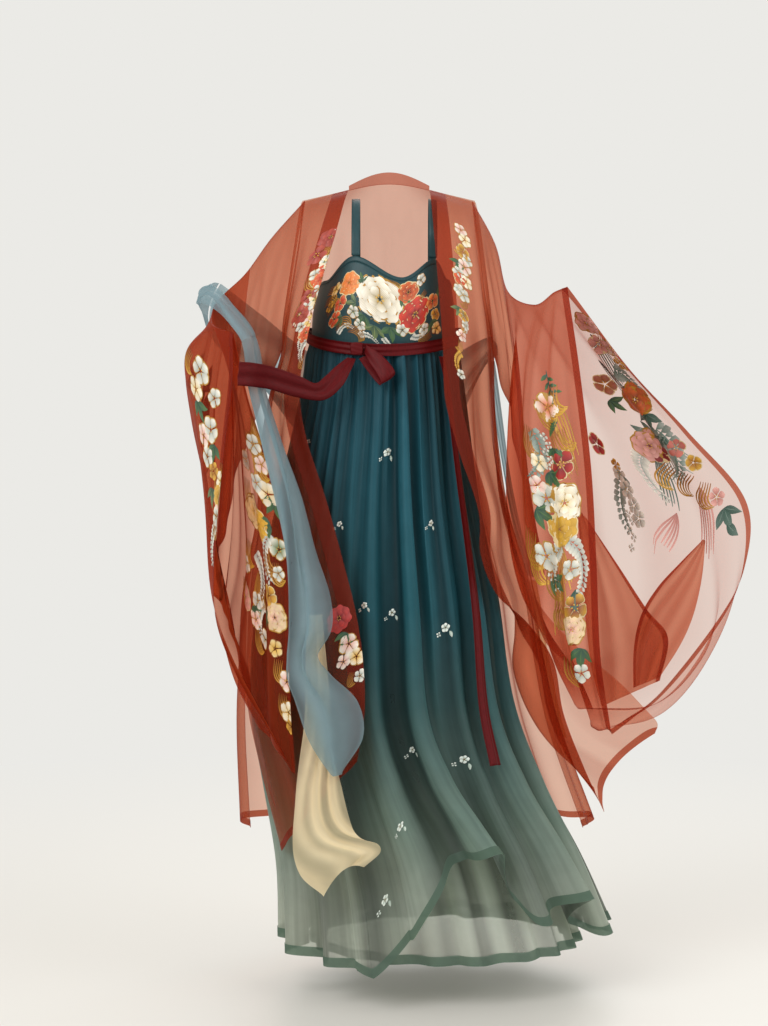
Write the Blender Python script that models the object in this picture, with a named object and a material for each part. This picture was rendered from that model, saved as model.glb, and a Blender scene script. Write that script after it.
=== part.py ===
"""A wide-sleeved hanfu set as it hangs when worn: a chest-high skirt of two layers with an
embroidered bodice, a tie belt with a bow, a sheer open robe with wide sleeves, and a long scarf.

Metres, +Z up. The wearer faces -Y, so +X is the wearer's left. The origin is between the
shoulders at the height of the shoulder line, where the wearer holds the garments up.
"""

import math
from collections import namedtuple

import bmesh
import bpy
from mathutils import Vector

# --- driving dimensions -------------------------------------------------------------------

SHEER_WALL = 0.0012  # chiffon, drawn at the least wall that a solid keeps
CLOTH_WALL = 0.0016  # bodice, belt and ribbons
BAND_WALL = 0.0016  # hems, collar and cuffs, where the chiffon is folded double
SEAM_GAP = 0.0042  # between two pieces that are sewn together

BUST_DROP = 0.190  # shoulder line to the fullest part of the chest
WAIST_SEAM_DROP = 0.252  # shoulder line to the seam under the bust
SKIRT_DROP = 1.275  # shoulder line to the skirt's hem
ARMHOLE_DROP = 0.262  # shoulder line to the underarm point
RIGHT_SHOULDER = Vector((-0.157, 0.0, -0.012))
LEFT_SHOULDER = Vector((0.135, 0.0, -0.012))
RIGHT_NECK = Vector((-0.078, 0.0, 0.006))
LEFT_NECK = Vector((0.058, 0.0, 0.006))
BACK_NECK = Vector((-0.010, 0.056, 0.020))
ARMHOLE_HALF_DEPTH = 0.062

SKIRT_HEM_BAND = 0.024
ROBE_HEM_BAND = 0.012
COLLAR_WIDTH = 0.028
CUFF_BAND = 0.018
BELT_WIDTH = 0.020
STRAP_WIDTH = 0.014

# --- colours (linear) ---------------------------------------------------------------------

RUST = (0.36, 0.055, 0.025)
DEEP_RUST = (0.27, 0.030, 0.016)
TEAL = (0.018, 0.085, 0.105)
SAGE = (0.165, 0.235, 0.205)
HEM_GREEN = (0.060, 0.130, 0.105)
BODICE_TEAL = (0.010, 0.052, 0.058)
RIBBON_RED = (0.150, 0.008, 0.014)
SCARF_BLUE = (0.150, 0.270, 0.330)
SCARF_CREAM = (0.780, 0.620, 0.380)

FRONT_START, SIDE_TO_SIDE, WHOLE_ROUND = 0.0, 0.5, 1.0


# --- surfaces -----------------------------------------------------------------------------


def loft(curves):
    """A surface through a list of curves, smooth from one to the next. Each takes u."""
    last = len(curves) - 1

    def surface(u, v):
        place = min(max(v, 0.0), 1.0) * last
        i = min(int(place), last - 1)
        t = place - i
        here, there = curves[i](u), curves[i + 1](u)
        before = curves[i - 1](u) if i > 0 else here * 2 - there
        after = curves[i + 2](u) if i + 2 <= last else there * 2 - here
        return 0.5 * (
            here * 2
            + (there - before) * t
            + (before * 2 - here * 5 + there * 4 - after) * t**2
            + (here * 3 - before - there * 3 + after) * t**3
        )

    return surface


def smooth_table(table, column, at):
    """The value of a column of a table at a place between its rows, read smoothly."""
    rows = sorted(table)
    places = [row[0] for row in rows]
    if at <= places[0]:
        return rows[0][column]
    for low, high in zip(rows, rows[1:]):
        if at <= high[0]:
            t = (at - low[0]) / (high[0] - low[0])
            return low[column] + (high[column] - low[column]) * t * t * (3 - 2 * t)
    return rows[-1][column]


def part_of(surface, u_low, u_high, v_low, v_high):
    """The part of a surface between two shares of its width and two of its length."""
    return lambda u, v: surface(
        u_low + (u_high - u_low) * u, v_low + (v_high - v_low) * v
    )


def share_of_width(surface, width, v):
    """How far u has to go from the u = 0 edge to be a real distance away from it."""
    steps = 80
    run, before = 0.0, surface(0.0, v)
    for i in range(1, steps + 1):
        here = surface(i / steps, v)
        step = (here - before).length
        if run + step >= width:
            return (i - 1 + (width - run) / step) / steps
        run += step
        before = here
    return 1.0


def edge_band(surface, width):
    """The strip of a surface along its u = 0 edge, of one real width all along."""
    return lambda u, v: surface(u * share_of_width(surface, width, v), v)


def beside_edge_band(surface, width):
    """The rest of the surface, a seam's gap away from that strip."""

    def rest(u, v):
        start = share_of_width(surface, width + SEAM_GAP, v)
        return surface(start + (1 - start) * u, v)

    return rest


def hem_band(surface, width):
    """The strip of a surface along its v = 1 edge, of one real width all along."""

    def band(u, v):
        share = share_of_width(lambda s, _: surface(u, 1.0 - s / 4), width, 0.0) / 4
        return surface(u, 1.0 - share * (1.0 - v))

    return band


def above_hem(surface, width):
    """The rest of the surface, a seam's gap away from that strip."""

    def rest(u, v):
        clear = width + SEAM_GAP
        share = share_of_width(lambda s, _: surface(u, 1.0 - s / 4), clear, 0.0) / 4
        return surface(u, v * (1.0 - share))

    return rest


# --- making objects -----------------------------------------------------------------------


def material(name, colour, roughness):
    made = bpy.data.materials.new(name)
    made.use_nodes = True
    shader = made.node_tree.nodes["Principled BSDF"]
    shader.inputs["Base Color"].default_value = (*colour, 1.0)
    shader.inputs["Roughness"].default_value = roughness
    shader.inputs["Metallic"].default_value = 0.0
    return made


def object_from(bm, name, finish):
    mesh = bpy.data.meshes.new(name)
    bm.to_mesh(mesh)
    bm.free()
    mesh.materials.append(finish)
    made = bpy.data.objects.new(name, mesh)
    bpy.context.scene.collection.objects.link(made)
    return made


def cloth(name, surface, columns, lines, wall, finish, trim_sides=0.0, trim_ends=0.0):
    """A wall of cloth on a surface. The trims are shares of its width and length left as gaps."""
    bm = bmesh.new()
    bmesh.ops.create_grid(bm, x_segments=columns, y_segments=lines, size=0.5)
    for point in bm.verts:
        u = trim_sides + (1 - 2 * trim_sides) * (point.co.x + 0.5)
        v = trim_ends + (1 - 2 * trim_ends) * (0.5 - point.co.y)
        point.co = surface(u, v)
    bmesh.ops.remove_doubles(bm, verts=bm.verts, dist=0.00005)
    bmesh.ops.recalc_face_normals(bm, faces=bm.faces)
    made = object_from(bm, name, finish)
    made.data.shade_smooth()
    thick = made.modifiers.new("wall", "SOLIDIFY")
    thick.thickness = wall
    thick.offset = 0.0
    return made


# --- skirt --------------------------------------------------------------------------------

# Outline of the skirt's ridges at a few drops below the shoulder line, and how deep the
# valleys between them are.
SkirtRow = namedtuple("SkirtRow", "drop centre_x centre_y half_width half_depth valley")
SKIRT_ROWS = [
    SkirtRow(0.2525, -0.020, 0.000, 0.126, 0.108, 0.004),
    SkirtRow(0.350, -0.021, -0.005, 0.140, 0.125, 0.009),
    SkirtRow(0.520, -0.028, -0.010, 0.171, 0.155, 0.014),
    SkirtRow(0.690, -0.028, -0.018, 0.206, 0.182, 0.019),
    SkirtRow(0.860, -0.020, -0.028, 0.225, 0.206, 0.026),
    SkirtRow(1.000, 0.015, -0.038, 0.240, 0.226, 0.034),
    SkirtRow(1.140, 0.058, -0.050, 0.263, 0.246, 0.042),
    SkirtRow(SKIRT_DROP, 0.085, -0.060, 0.287, 0.264, 0.048),
]
INNER_LAYER_INSET = 0.010
INNER_VALLEY_SHARE = 0.35

# Main folds: where each ridge is, as a share of the way round from the wearer's right side
# seam over the front, and its height as a share of the valley depth.
SkirtFold = namedtuple("SkirtFold", "place height")
FRONT_FOLDS = [
    SkirtFold(0.000, 0.80),
    SkirtFold(0.062, 0.95),
    SkirtFold(0.118, 0.70),
    SkirtFold(0.178, 1.00),
    SkirtFold(0.240, 0.75),
    SkirtFold(0.290, 1.00),
    SkirtFold(0.350, 0.85),
    SkirtFold(0.402, 1.00),
    SkirtFold(0.452, 0.80),
]
BACK_FOLDS = [
    SkirtFold(0.500, 1.00),
    SkirtFold(0.585, 0.80),
    SkirtFold(0.668, 1.00),
    SkirtFold(0.742, 0.75),
    SkirtFold(0.826, 0.95),
    SkirtFold(0.908, 0.85),
]
FOLDS = [*FRONT_FOLDS, *BACK_FOLDS, SkirtFold(1.000, FRONT_FOLDS[0].height)]

# How far the wind lifts the outer layer's hem, by place round the skirt.
HemLift = namedtuple("HemLift", "place lift")
OUTER_HEM_LIFTS = [
    HemLift(0.000, 0.020),
    HemLift(0.120, 0.005),
    HemLift(0.178, 0.000),
    HemLift(0.215, 0.060),
    HemLift(0.262, 0.190),
    HemLift(0.295, 0.200),
    HemLift(0.345, 0.080),
    HemLift(0.402, 0.110),
    HemLift(0.450, 0.035),
    HemLift(0.505, 0.050),
    HemLift(0.600, 0.015),
    HemLift(1.000, 0.020),
]
INNER_HEM_LIFTS = [HemLift(0.000, 0.012), HemLift(1.000, 0.012)]
SIDE_TRIM = 0.002  # share of a half left free at each side seam
LIFT_STARTS = 0.55  # share of the skirt's length where the wind begins to raise it


def ridge_share(place):
    """1 on a ridge and 0 in the valley between two, times the ridges' own heights."""
    place = place % 1.0
    for low, high in zip(FOLDS, FOLDS[1:]):
        if place <= high.place:
            t = (place - low.place) / (high.place - low.place)
            height = low.height + (high.height - low.height) * t
            return height * 0.5 * (1 + math.cos(2 * math.pi * t))
    return FOLDS[0].height


def skirt_layer(inset, valley_share, lifts):
    """A layer of the skirt. u runs round from the right side seam over the front."""

    def ring(row, share):
        def curve(u):
            angle = math.pi * (1 + 2 * u)
            valley = row.valley * valley_share
            inward = inset + valley * (1 - ridge_share(u))
            if inset:
                inward += row.valley
            lift = smooth_table(lifts, 1, u % 1.0)
            raised = max(0.0, (share - LIFT_STARTS) / (1 - LIFT_STARTS)) ** 1.6 * lift
            return Vector(
                (
                    row.centre_x + (row.half_width - inward) * math.cos(angle),
                    row.centre_y + (row.half_depth - inward) * math.sin(angle),
                    raised - row.drop,
                )
            )

        return curve

    last = len(SKIRT_ROWS) - 1
    return loft([ring(row, i / last) for i, row in enumerate(SKIRT_ROWS)])


def make_skirt():
    outer_cloth = material("skirt_gauze", TEAL, 0.65)
    inner_cloth = material("skirt_under_layer", SAGE, 0.7)
    band_cloth = material("skirt_hem_tape", HEM_GREEN, 0.7)
    outer = skirt_layer(0.0, 1.0, OUTER_HEM_LIFTS)
    inner = skirt_layer(INNER_LAYER_INSET, INNER_VALLEY_SHARE, INNER_HEM_LIFTS)
    layers = (
        ("outer", outer, outer_cloth, 34, 20, 8),
        ("inner", inner, inner_cloth, 14, 10, 5),
    )
    for layer, surface, finish, front_columns, back_columns, lines in layers:
        halves = (
            ("front", part_of(surface, FRONT_START, SIDE_TO_SIDE, 0, 1), front_columns),
            ("back", part_of(surface, SIDE_TO_SIDE, WHOLE_ROUND, 0, 1), back_columns),
        )
        for half, panel, columns in halves:
            body = above_hem(panel, SKIRT_HEM_BAND + 0.002)
            hem = hem_band(panel, SKIRT_HEM_BAND)
            name = f"skirt_{layer}_{half}"
            cloth(name, body, columns, lines, SHEER_WALL, finish, trim_sides=SIDE_TRIM)
            name = f"skirt_{layer}_hem_{half}"
            cloth(name, hem, columns, 1, BAND_WALL, band_cloth, trim_sides=SIDE_TRIM)


# --- bodice and straps --------------------------------------------------------------------

BodiceRow = namedtuple("BodiceRow", "centre_x half_width front_depth back_depth")
BODICE_TOP = BodiceRow(-0.017, 0.112, 0.094, 0.080)
BODICE_BUST = BodiceRow(-0.019, 0.119, 0.112, 0.093)
BODICE_FOOT = BodiceRow(-0.020, 0.122, 0.104, 0.100)

# Height of the bodice's upper edge by place round it, from the right side over the front:
# it rises to each strap and dips to a shallow V between them.
EdgeHeight = namedtuple("EdgeHeight", "place drop")
BODICE_EDGE = [
    EdgeHeight(0.000, 0.158),
    EdgeHeight(0.080, 0.148),
    EdgeHeight(0.175, 0.108),
    EdgeHeight(0.290, 0.144),
    EdgeHeight(0.380, 0.112),
    EdgeHeight(0.440, 0.145),
    EdgeHeight(0.500, 0.156),
    EdgeHeight(0.660, 0.158),
    EdgeHeight(0.840, 0.158),
    EdgeHeight(1.000, 0.158),
]
RIGHT_STRAP_PLACE, LEFT_STRAP_PLACE = 0.178, 0.377
STRAP_RISE = 0.0048  # a strap ends this far above the edge that holds it
BINDING_SHARE = 0.045  # of the bodice's height


def bodice_ring(row, drop_of):
    def curve(u):
        angle = math.pi * (1 + 2 * u)
        depth = row.front_depth if math.sin(angle) < 0 else row.back_depth
        return Vector(
            (
                row.centre_x + row.half_width * math.cos(angle),
                depth * math.sin(angle),
                -drop_of(u),
            )
        )

    return curve


def bodice_surface():
    def edge_drop(u):
        return smooth_table(BODICE_EDGE, 1, u % 1.0)

    def bust_drop(u):
        return (edge_drop(u) + WAIST_SEAM_DROP + 2 * BUST_DROP) / 4

    foot_drop = WAIST_SEAM_DROP - SEAM_GAP
    return loft(
        [
            bodice_ring(BODICE_TOP, edge_drop),
            bodice_ring(BODICE_BUST, bust_drop),
            bodice_ring(BODICE_FOOT, lambda u: foot_drop),
        ]
    )


def strap_surface(place, surface):
    """A strap from the bodice's front edge over the shoulder to its back edge."""
    front = surface(place, 0.0)
    back = surface(WHOLE_ROUND - place, 0.0)
    half = Vector((STRAP_WIDTH / 2, 0.0, 0.0))

    def crossing(middle):
        return lambda u: middle + half * (2 * u - 1)

    mid_x = (front.x + back.x) / 2
    return loft(
        [
            crossing(front + Vector((0.0, 0.0, STRAP_RISE))),
            crossing(Vector((mid_x, -0.074, -0.066))),
            crossing(Vector((mid_x, -0.036, -0.020))),
            crossing(Vector((mid_x, 0.000, -0.010))),
            crossing(Vector((mid_x, 0.030, -0.030))),
            crossing(Vector((mid_x, 0.046, -0.090))),
            crossing(back + Vector((0.0, -0.004, STRAP_RISE))),
        ]
    )


def make_bodice():
    teal = material("bodice_satin", BODICE_TEAL, 0.45)
    whole = bodice_surface()
    below_binding = BINDING_SHARE + SEAM_GAP / 0.1
    front = part_of(whole, FRONT_START, SIDE_TO_SIDE, below_binding, 1)
    binding = part_of(whole, FRONT_START, SIDE_TO_SIDE, 0.0, BINDING_SHARE)
    back = part_of(whole, SIDE_TO_SIDE, WHOLE_ROUND, 0, 1)
    cloth("bodice_front", front, 20, 3, CLOTH_WALL, teal, trim_sides=SIDE_TRIM)
    cloth("bodice_binding", binding, 20, 1, CLOTH_WALL, teal, trim_sides=SIDE_TRIM)
    cloth("bodice_back", back, 12, 3, CLOTH_WALL, teal, trim_sides=SIDE_TRIM)
    for side, place in (("right", RIGHT_STRAP_PLACE), ("left", LEFT_STRAP_PLACE)):
        cloth(f"strap_{side}", strap_surface(place, whole), 1, 9, CLOTH_WALL, teal)


# --- belt and ribbons ---------------------------------------------------------------------

BELT_HALF_WIDTH, BELT_HALF_DEPTH = 0.1305, 0.1165
BELT_SIDE_DROP, BELT_FRONT_DROP = 0.236, 0.264
KNOT_PLACE = Vector((-0.064, -0.1185, -0.262))
KNOT_SIZE = Vector((0.022, 0.012, 0.024))

# A ribbon's middle line and half its width as a vector, top or inner end first.
RibbonRow = namedtuple("RibbonRow", "x y z half_x half_y half_z")
BOW_LOOP = [
    RibbonRow(-0.050, -0.1225, -0.262, 0.002, 0.000, 0.006),
    RibbonRow(-0.038, -0.1330, -0.274, 0.006, 0.001, 0.009),
    RibbonRow(-0.022, -0.1440, -0.292, 0.009, 0.002, 0.010),
    RibbonRow(-0.012, -0.1480, -0.308, 0.011, 0.003, 0.009),
    RibbonRow(-0.015, -0.1380, -0.314, 0.011, 0.003, 0.008),
    RibbonRow(-0.028, -0.1300, -0.300, 0.010, 0.002, 0.009),
    RibbonRow(-0.044, -0.1255, -0.284, 0.007, 0.001, 0.008),
    RibbonRow(-0.056, -0.1250, -0.2765, 0.004, 0.000, 0.002),
]
HELD_TAIL = [
    RibbonRow(-0.072, -0.1240, -0.2775, -0.007, 0.000, 0.001),
    RibbonRow(-0.086, -0.1420, -0.295, -0.012, 0.000, 0.004),
    RibbonRow(-0.102, -0.1580, -0.316, -0.014, -0.002, 0.008),
    RibbonRow(-0.124, -0.1760, -0.332, -0.007, -0.004, 0.014),
    RibbonRow(-0.158, -0.1950, -0.324, 0.003, -0.004, 0.017),
    RibbonRow(-0.200, -0.2180, -0.310, 0.004, -0.004, 0.018),
    RibbonRow(-0.230, -0.2500, -0.304, 0.003, -0.003, 0.019),
    RibbonRow(-0.252, -0.2620, -0.302, 0.002, -0.003, 0.019),
]

# The other tail lies on the skirt: its place round it, and half its width.
LyingRow = namedtuple("LyingRow", "place share half_width")
HANGING_TAIL = [
    LyingRow(0.374, 0.035, 0.006),
    LyingRow(0.383, 0.120, 0.007),
    LyingRow(0.390, 0.240, 0.008),
    LyingRow(0.390, 0.340, 0.009),
    LyingRow(0.384, 0.440, 0.010),
    LyingRow(0.377, 0.560, 0.011),
    LyingRow(0.366, 0.665, 0.012),
]
HANGING_TAIL_CLEAR = 0.010


def belt_surface():
    def ring(offset):
        def curve(u):
            angle = math.pi * (1 + 2 * u)
            front = max(0.0, -math.sin(angle))
            drop = BELT_SIDE_DROP + (BELT_FRONT_DROP - BELT_SIDE_DROP) * front
            return Vector(
                (
                    -0.020 + BELT_HALF_WIDTH * math.cos(angle),
                    BELT_HALF_DEPTH * math.sin(angle),
                    -drop - offset,
                )
            )

        return curve

    return loft([ring(-BELT_WIDTH / 2), ring(BELT_WIDTH / 2)])


def ribbon_surface(rows):
    def crossing(row):
        middle = Vector((row.x, row.y, row.z))
        half = Vector((row.half_x, row.half_y, row.half_z))
        return lambda u: middle + half * (2 * u - 1)

    return loft([crossing(row) for row in rows])


def lying_surface(under, rows, clear):
    """A strip that hangs against an upright surface, a clear distance outside it."""

    def crossing(row):
        touch = under(row.place, row.share)
        out = Vector((touch.x, touch.y, 0.0)).normalized()
        side = Vector((-out.y, out.x, 0.0))
        return lambda u: touch + out * clear + side * row.half_width * (2 * u - 1)

    return loft([crossing(row) for row in rows])


def make_knot(finish):
    bm = bmesh.new()
    bmesh.ops.create_cube(bm, size=1.0)
    bmesh.ops.scale(bm, vec=KNOT_SIZE, verts=bm.verts)
    bmesh.ops.bevel(
        bm,
        geom=bm.edges[:],
        offset=0.0045,
        segments=2,
        profile=0.5,
        affect="EDGES",
        material=-1,
    )
    bmesh.ops.translate(bm, vec=KNOT_PLACE - Vector((0, 0.0065, 0)), verts=bm.verts)
    object_from(bm, "bow_knot", finish)


def make_belt():
    red = material("ribbon_satin", RIBBON_RED, 0.4)
    cloth("belt", belt_surface(), 24, 1, CLOTH_WALL, red)
    make_knot(red)
    cloth("bow_loop", ribbon_surface(BOW_LOOP), 2, 14, CLOTH_WALL, red)
    cloth("ribbon_tail_held", ribbon_surface(HELD_TAIL), 2, 14, CLOTH_WALL, red)
    outer = skirt_layer(0.0, 0.0, OUTER_HEM_LIFTS)
    hanging = lying_surface(outer, HANGING_TAIL, HANGING_TAIL_CLEAR)
    cloth("ribbon_tail_hanging", hanging, 2, 12, CLOTH_WALL, red)


# --- robe body ----------------------------------------------------------------------------

# A front panel, shoulder to hem: its free edge, how far its middle stands off the straight
# line between its edges, and its side edge.
PanelRow = namedtuple(
    "PanelRow", "free_x free_y free_z belly_x belly_y side_x side_y side_z"
)
RIGHT_FRONT = [
    PanelRow(-0.078, -0.001, 0.006, 0.000, -0.002, -0.155, -0.002, -0.014),
    PanelRow(-0.084, -0.042, -0.012, 0.000, -0.008, -0.159, -0.026, -0.036),
    PanelRow(-0.099, -0.089, -0.070, 0.000, -0.014, -0.165, -0.052, -0.080),
    PanelRow(-0.127, -0.114, -0.166, -0.004, -0.018, -0.180, -0.060, -0.170),
    PanelRow(-0.140, -0.120, -0.220, -0.006, -0.022, -0.189, -0.036, -0.225),
    PanelRow(-0.150, -0.124, -0.270, -0.008, -0.028, -0.192, -0.004, -0.272),
    PanelRow(-0.158, -0.132, -0.335, -0.012, -0.034, -0.194, -0.004, -0.350),
    PanelRow(-0.146, -0.150, -0.410, -0.016, -0.038, -0.206, -0.004, -0.440),
    PanelRow(-0.113, -0.182, -0.510, -0.028, -0.046, -0.226, -0.006, -0.540),
    PanelRow(-0.085, -0.212, -0.608, -0.036, -0.050, -0.242, -0.010, -0.640),
    PanelRow(-0.064, -0.236, -0.690, -0.040, -0.050, -0.250, -0.024, -0.740),
    PanelRow(-0.052, -0.254, -0.770, -0.036, -0.044, -0.248, -0.074, -0.850),
    PanelRow(-0.050, -0.268, -0.850, -0.024, -0.034, -0.222, -0.112, -0.960),
    PanelRow(-0.062, -0.280, -0.925, -0.010, -0.022, -0.184, -0.170, -1.085),
]
LEFT_FRONT = [
    PanelRow(0.058, -0.001, 0.006, 0.000, -0.002, 0.133, -0.002, -0.014),
    PanelRow(0.060, -0.042, -0.012, 0.000, -0.008, 0.137, -0.026, -0.036),
    PanelRow(0.064, -0.088, -0.067, 0.004, -0.014, 0.143, -0.052, -0.080),
    PanelRow(0.072, -0.110, -0.166, 0.008, -0.018, 0.155, -0.060, -0.170),
    PanelRow(0.076, -0.120, -0.220, 0.010, -0.022, 0.162, -0.036, -0.225),
    PanelRow(0.079, -0.128, -0.275, 0.012, -0.022, 0.166, -0.004, -0.272),
    PanelRow(0.082, -0.138, -0.346, 0.014, -0.024, 0.166, -0.004, -0.350),
    PanelRow(0.104, -0.152, -0.430, 0.014, -0.022, 0.170, -0.004, -0.440),
    PanelRow(0.136, -0.166, -0.527, 0.018, -0.010, 0.182, -0.004, -0.530),
    PanelRow(0.140, -0.168, -0.600, 0.026, -0.008, 0.210, -0.004, -0.620),
    PanelRow(0.168, -0.142, -0.668, 0.020, -0.004, 0.246, -0.002, -0.700),
    PanelRow(0.222, -0.070, -0.722, -0.050, 0.010, 0.300, 0.010, -0.770),
    PanelRow(0.268, -0.036, -0.790, -0.105, 0.012, 0.360, 0.016, -0.830),
    PanelRow(0.286, -0.030, -0.880, -0.108, 0.012, 0.405, 0.014, -0.880),
    PanelRow(0.318, -0.030, -0.965, -0.090, 0.010, 0.428, 0.010, -0.905),
    PanelRow(0.356, -0.030, -1.050, -0.030, 0.004, 0.436, 0.004, -0.925),
]

# The back, below the shoulders: an open half ring round the back of the body.
BackRow = namedtuple("BackRow", "drop centre_x centre_y half_width half_depth flute")
BACK_ROWS = [
    BackRow(0.036, -0.011, 0.026, 0.148, 0.048, 0.000),
    BackRow(0.080, -0.011, 0.052, 0.154, 0.046, 0.000),
    BackRow(0.170, -0.013, 0.060, 0.167, 0.060, 0.002),
    BackRow(0.225, -0.014, 0.036, 0.175, 0.092, 0.003),
    BackRow(0.272, -0.014, 0.004, 0.179, 0.128, 0.004),
    BackRow(0.350, -0.015, 0.006, 0.180, 0.140, 0.009),
    BackRow(0.450, -0.019, 0.008, 0.190, 0.164, 0.014),
    BackRow(0.550, -0.022, 0.014, 0.207, 0.188, 0.018),
    BackRow(0.680, -0.015, 0.026, 0.236, 0.206, 0.022),
    BackRow(0.800, -0.008, 0.040, 0.248, 0.222, 0.026),
    BackRow(0.920, 0.004, 0.050, 0.262, 0.240, 0.030),
    BackRow(1.090, 0.038, 0.056, 0.288, 0.262, 0.034),
]
BACK_FLUTES = 6
CENTRE_BACK = 0.5
BACK_TOP_TRIM = 0.002  # share of its length left free at the shoulder seam
NAPE_LEAN = Vector((0.0, -0.006, 0.024))  # foot to top of the collar behind the neck
NECK_LOW_SHARE, NECK_HIGH_SHARE = 0.2705, 0.7350


def panel_surface(rows):
    """u runs from the free edge to the side edge."""

    def crossing(row):
        free = Vector((row.free_x, row.free_y, row.free_z))
        side = Vector((row.side_x, row.side_y, row.side_z))
        belly = Vector((row.belly_x, row.belly_y, 0.0))
        return lambda u: free.lerp(side, u) + belly * 4 * u * (1 - u)

    return loft([crossing(row) for row in rows])


def back_top_edge(u):
    """Right shoulder seam, round the back of the neck, and left shoulder seam."""
    if u < NECK_LOW_SHARE:
        return RIGHT_SHOULDER.lerp(RIGHT_NECK, u / NECK_LOW_SHARE)
    if u > NECK_HIGH_SHARE:
        return LEFT_NECK.lerp(
            LEFT_SHOULDER, (u - NECK_HIGH_SHARE) / (1 - NECK_HIGH_SHARE)
        )
    t = (u - NECK_LOW_SHARE) / (NECK_HIGH_SHARE - NECK_LOW_SHARE)
    rise = math.sin(math.pi * t)
    seat = RIGHT_NECK.lerp(LEFT_NECK, t)
    return seat + Vector((0, BACK_NECK.y, BACK_NECK.z - RIGHT_NECK.z)) * rise


def nape_surface():
    """The collar standing behind the neck. u runs round it from the wearer's right."""

    def line(share):
        def curve(u):
            place = NECK_LOW_SHARE + (NECK_HIGH_SHARE - NECK_LOW_SHARE) * u
            edge = back_top_edge(place)
            gap = Vector((0.0, 0.0, SEAM_GAP + 0.001))
            return edge + gap + NAPE_LEAN * share * (0.4 + 0.6 * math.sin(math.pi * u))

        return curve

    return loft([line(0.0), line(1.0)])


def back_surface():
    """u runs from the right side seam round the back to the left one."""

    def ring(row):
        def curve(u):
            angle = math.pi * u
            flute = row.flute * 0.5 * (1 - math.cos(2 * math.pi * BACK_FLUTES * u))
            return Vector(
                (
                    row.centre_x - (row.half_width + flute) * math.cos(angle),
                    row.centre_y + (row.half_depth + flute) * math.sin(angle),
                    -row.drop,
                )
            )

        return curve

    return loft([back_top_edge, *[ring(row) for row in BACK_ROWS]])


def make_robe_body():
    sheer = material("robe_chiffon", RUST, 0.6)
    folded = material("robe_band_chiffon", DEEP_RUST, 0.6)
    whole_back = back_surface()
    cloth("collar_neck", nape_surface(), 12, 1, BAND_WALL, folded)
    halves = (("right", 0.0, CENTRE_BACK), ("left", CENTRE_BACK, 1.0))
    for side, low, high in halves:
        half = part_of(whole_back, low, high, BACK_TOP_TRIM, 1)
        body, hem = above_hem(half, ROBE_HEM_BAND), hem_band(half, ROBE_HEM_BAND)
        name = f"robe_back_{side}"
        cloth(name, body, 10, 9, SHEER_WALL, sheer, trim_sides=SIDE_TRIM)
        name = f"robe_hem_back_{side}"
        cloth(name, hem, 10, 1, BAND_WALL, folded, trim_sides=SIDE_TRIM)
    for side, rows, lines in (("right", RIGHT_FRONT, 13), ("left", LEFT_FRONT, 20)):
        panel = part_of(panel_surface(rows), 0.0, 1.0, 0.002, 1.0)
        above, hem = above_hem(panel, ROBE_HEM_BAND), hem_band(panel, ROBE_HEM_BAND)
        collar = edge_band(above, COLLAR_WIDTH)
        body = beside_edge_band(above, COLLAR_WIDTH)
        cloth(f"collar_{side}", collar, 1, lines, BAND_WALL, folded)
        cloth(f"robe_front_{side}", body, 5, lines, SHEER_WALL, sheer)
        cloth(f"robe_hem_front_{side}", hem, 6, 1, BAND_WALL, folded)


# --- sleeves ------------------------------------------------------------------------------

# A ring of a sleeve near the shoulder: its top on the arm, its lowest point, and how far the
# front and back walls stand off the straight line between them.
SleeveRow = namedtuple(
    "SleeveRow", "top_x top_y top_z low_x low_y low_z front_x front_y back_x back_y"
)
RIGHT_UPPER_RINGS = [
    SleeveRow(-0.158, 0.000, -0.012, -0.197, 0.0, -0.262, 0.0, -0.062, 0.0, 0.062),
    SleeveRow(-0.208, 0.002, -0.073, -0.246, 0.005, -0.400, -0.003, -0.055, 0, 0.055),
    SleeveRow(-0.252, 0.000, -0.133, -0.288, 0.000, -0.560, 0.000, -0.055, -0.01, 0.048),
    SleeveRow(-0.287, -0.020, -0.168, -0.300, -0.035, -0.660, 0.015, -0.05, -0.02, 0.035),
]
LEFT_UPPER_RINGS = [
    SleeveRow(0.136, 0.000, -0.012, 0.169, 0.0, -0.262, 0.0, -0.062, 0.0, 0.062),
    SleeveRow(0.170, 0.005, -0.085, 0.206, 0.008, -0.420, 0.004, -0.055, 0.004, 0.052),
    SleeveRow(0.192, 0.005, -0.165, 0.226, -0.004, -0.560, 0.0, -0.056, 0.014, 0.046),
]
RING_ROUNDNESS = 0.75

# A ring nearer the cuff, through points: down its front wall, from the top on the arm to the
# lowest point, then up its back wall to the same top.
RingPoint = namedtuple("RingPoint", "x y z")
RIGHT_WRIST_FRONT = [
    RingPoint(-0.302, -0.085, -0.192),
    RingPoint(-0.262, -0.120, -0.340),
    RingPoint(-0.250, -0.125, -0.500),
    RingPoint(-0.250, -0.120, -0.640),
    RingPoint(-0.270, -0.105, -0.740),
]
RIGHT_WRIST_BACK = [
    RingPoint(-0.270, -0.105, -0.740),
    RingPoint(-0.296, -0.060, -0.620),
    RingPoint(-0.312, -0.055, -0.500),
    RingPoint(-0.328, -0.060, -0.340),
    RingPoint(-0.302, -0.085, -0.192),
]
RIGHT_HAND_FRONT = [
    RingPoint(-0.298, -0.170, -0.222),
    RingPoint(-0.258, -0.190, -0.350),
    RingPoint(-0.238, -0.190, -0.480),
    RingPoint(-0.222, -0.202, -0.620),
    RingPoint(-0.220, -0.200, -0.760),
    RingPoint(-0.222, -0.182, -0.870),
]
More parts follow.
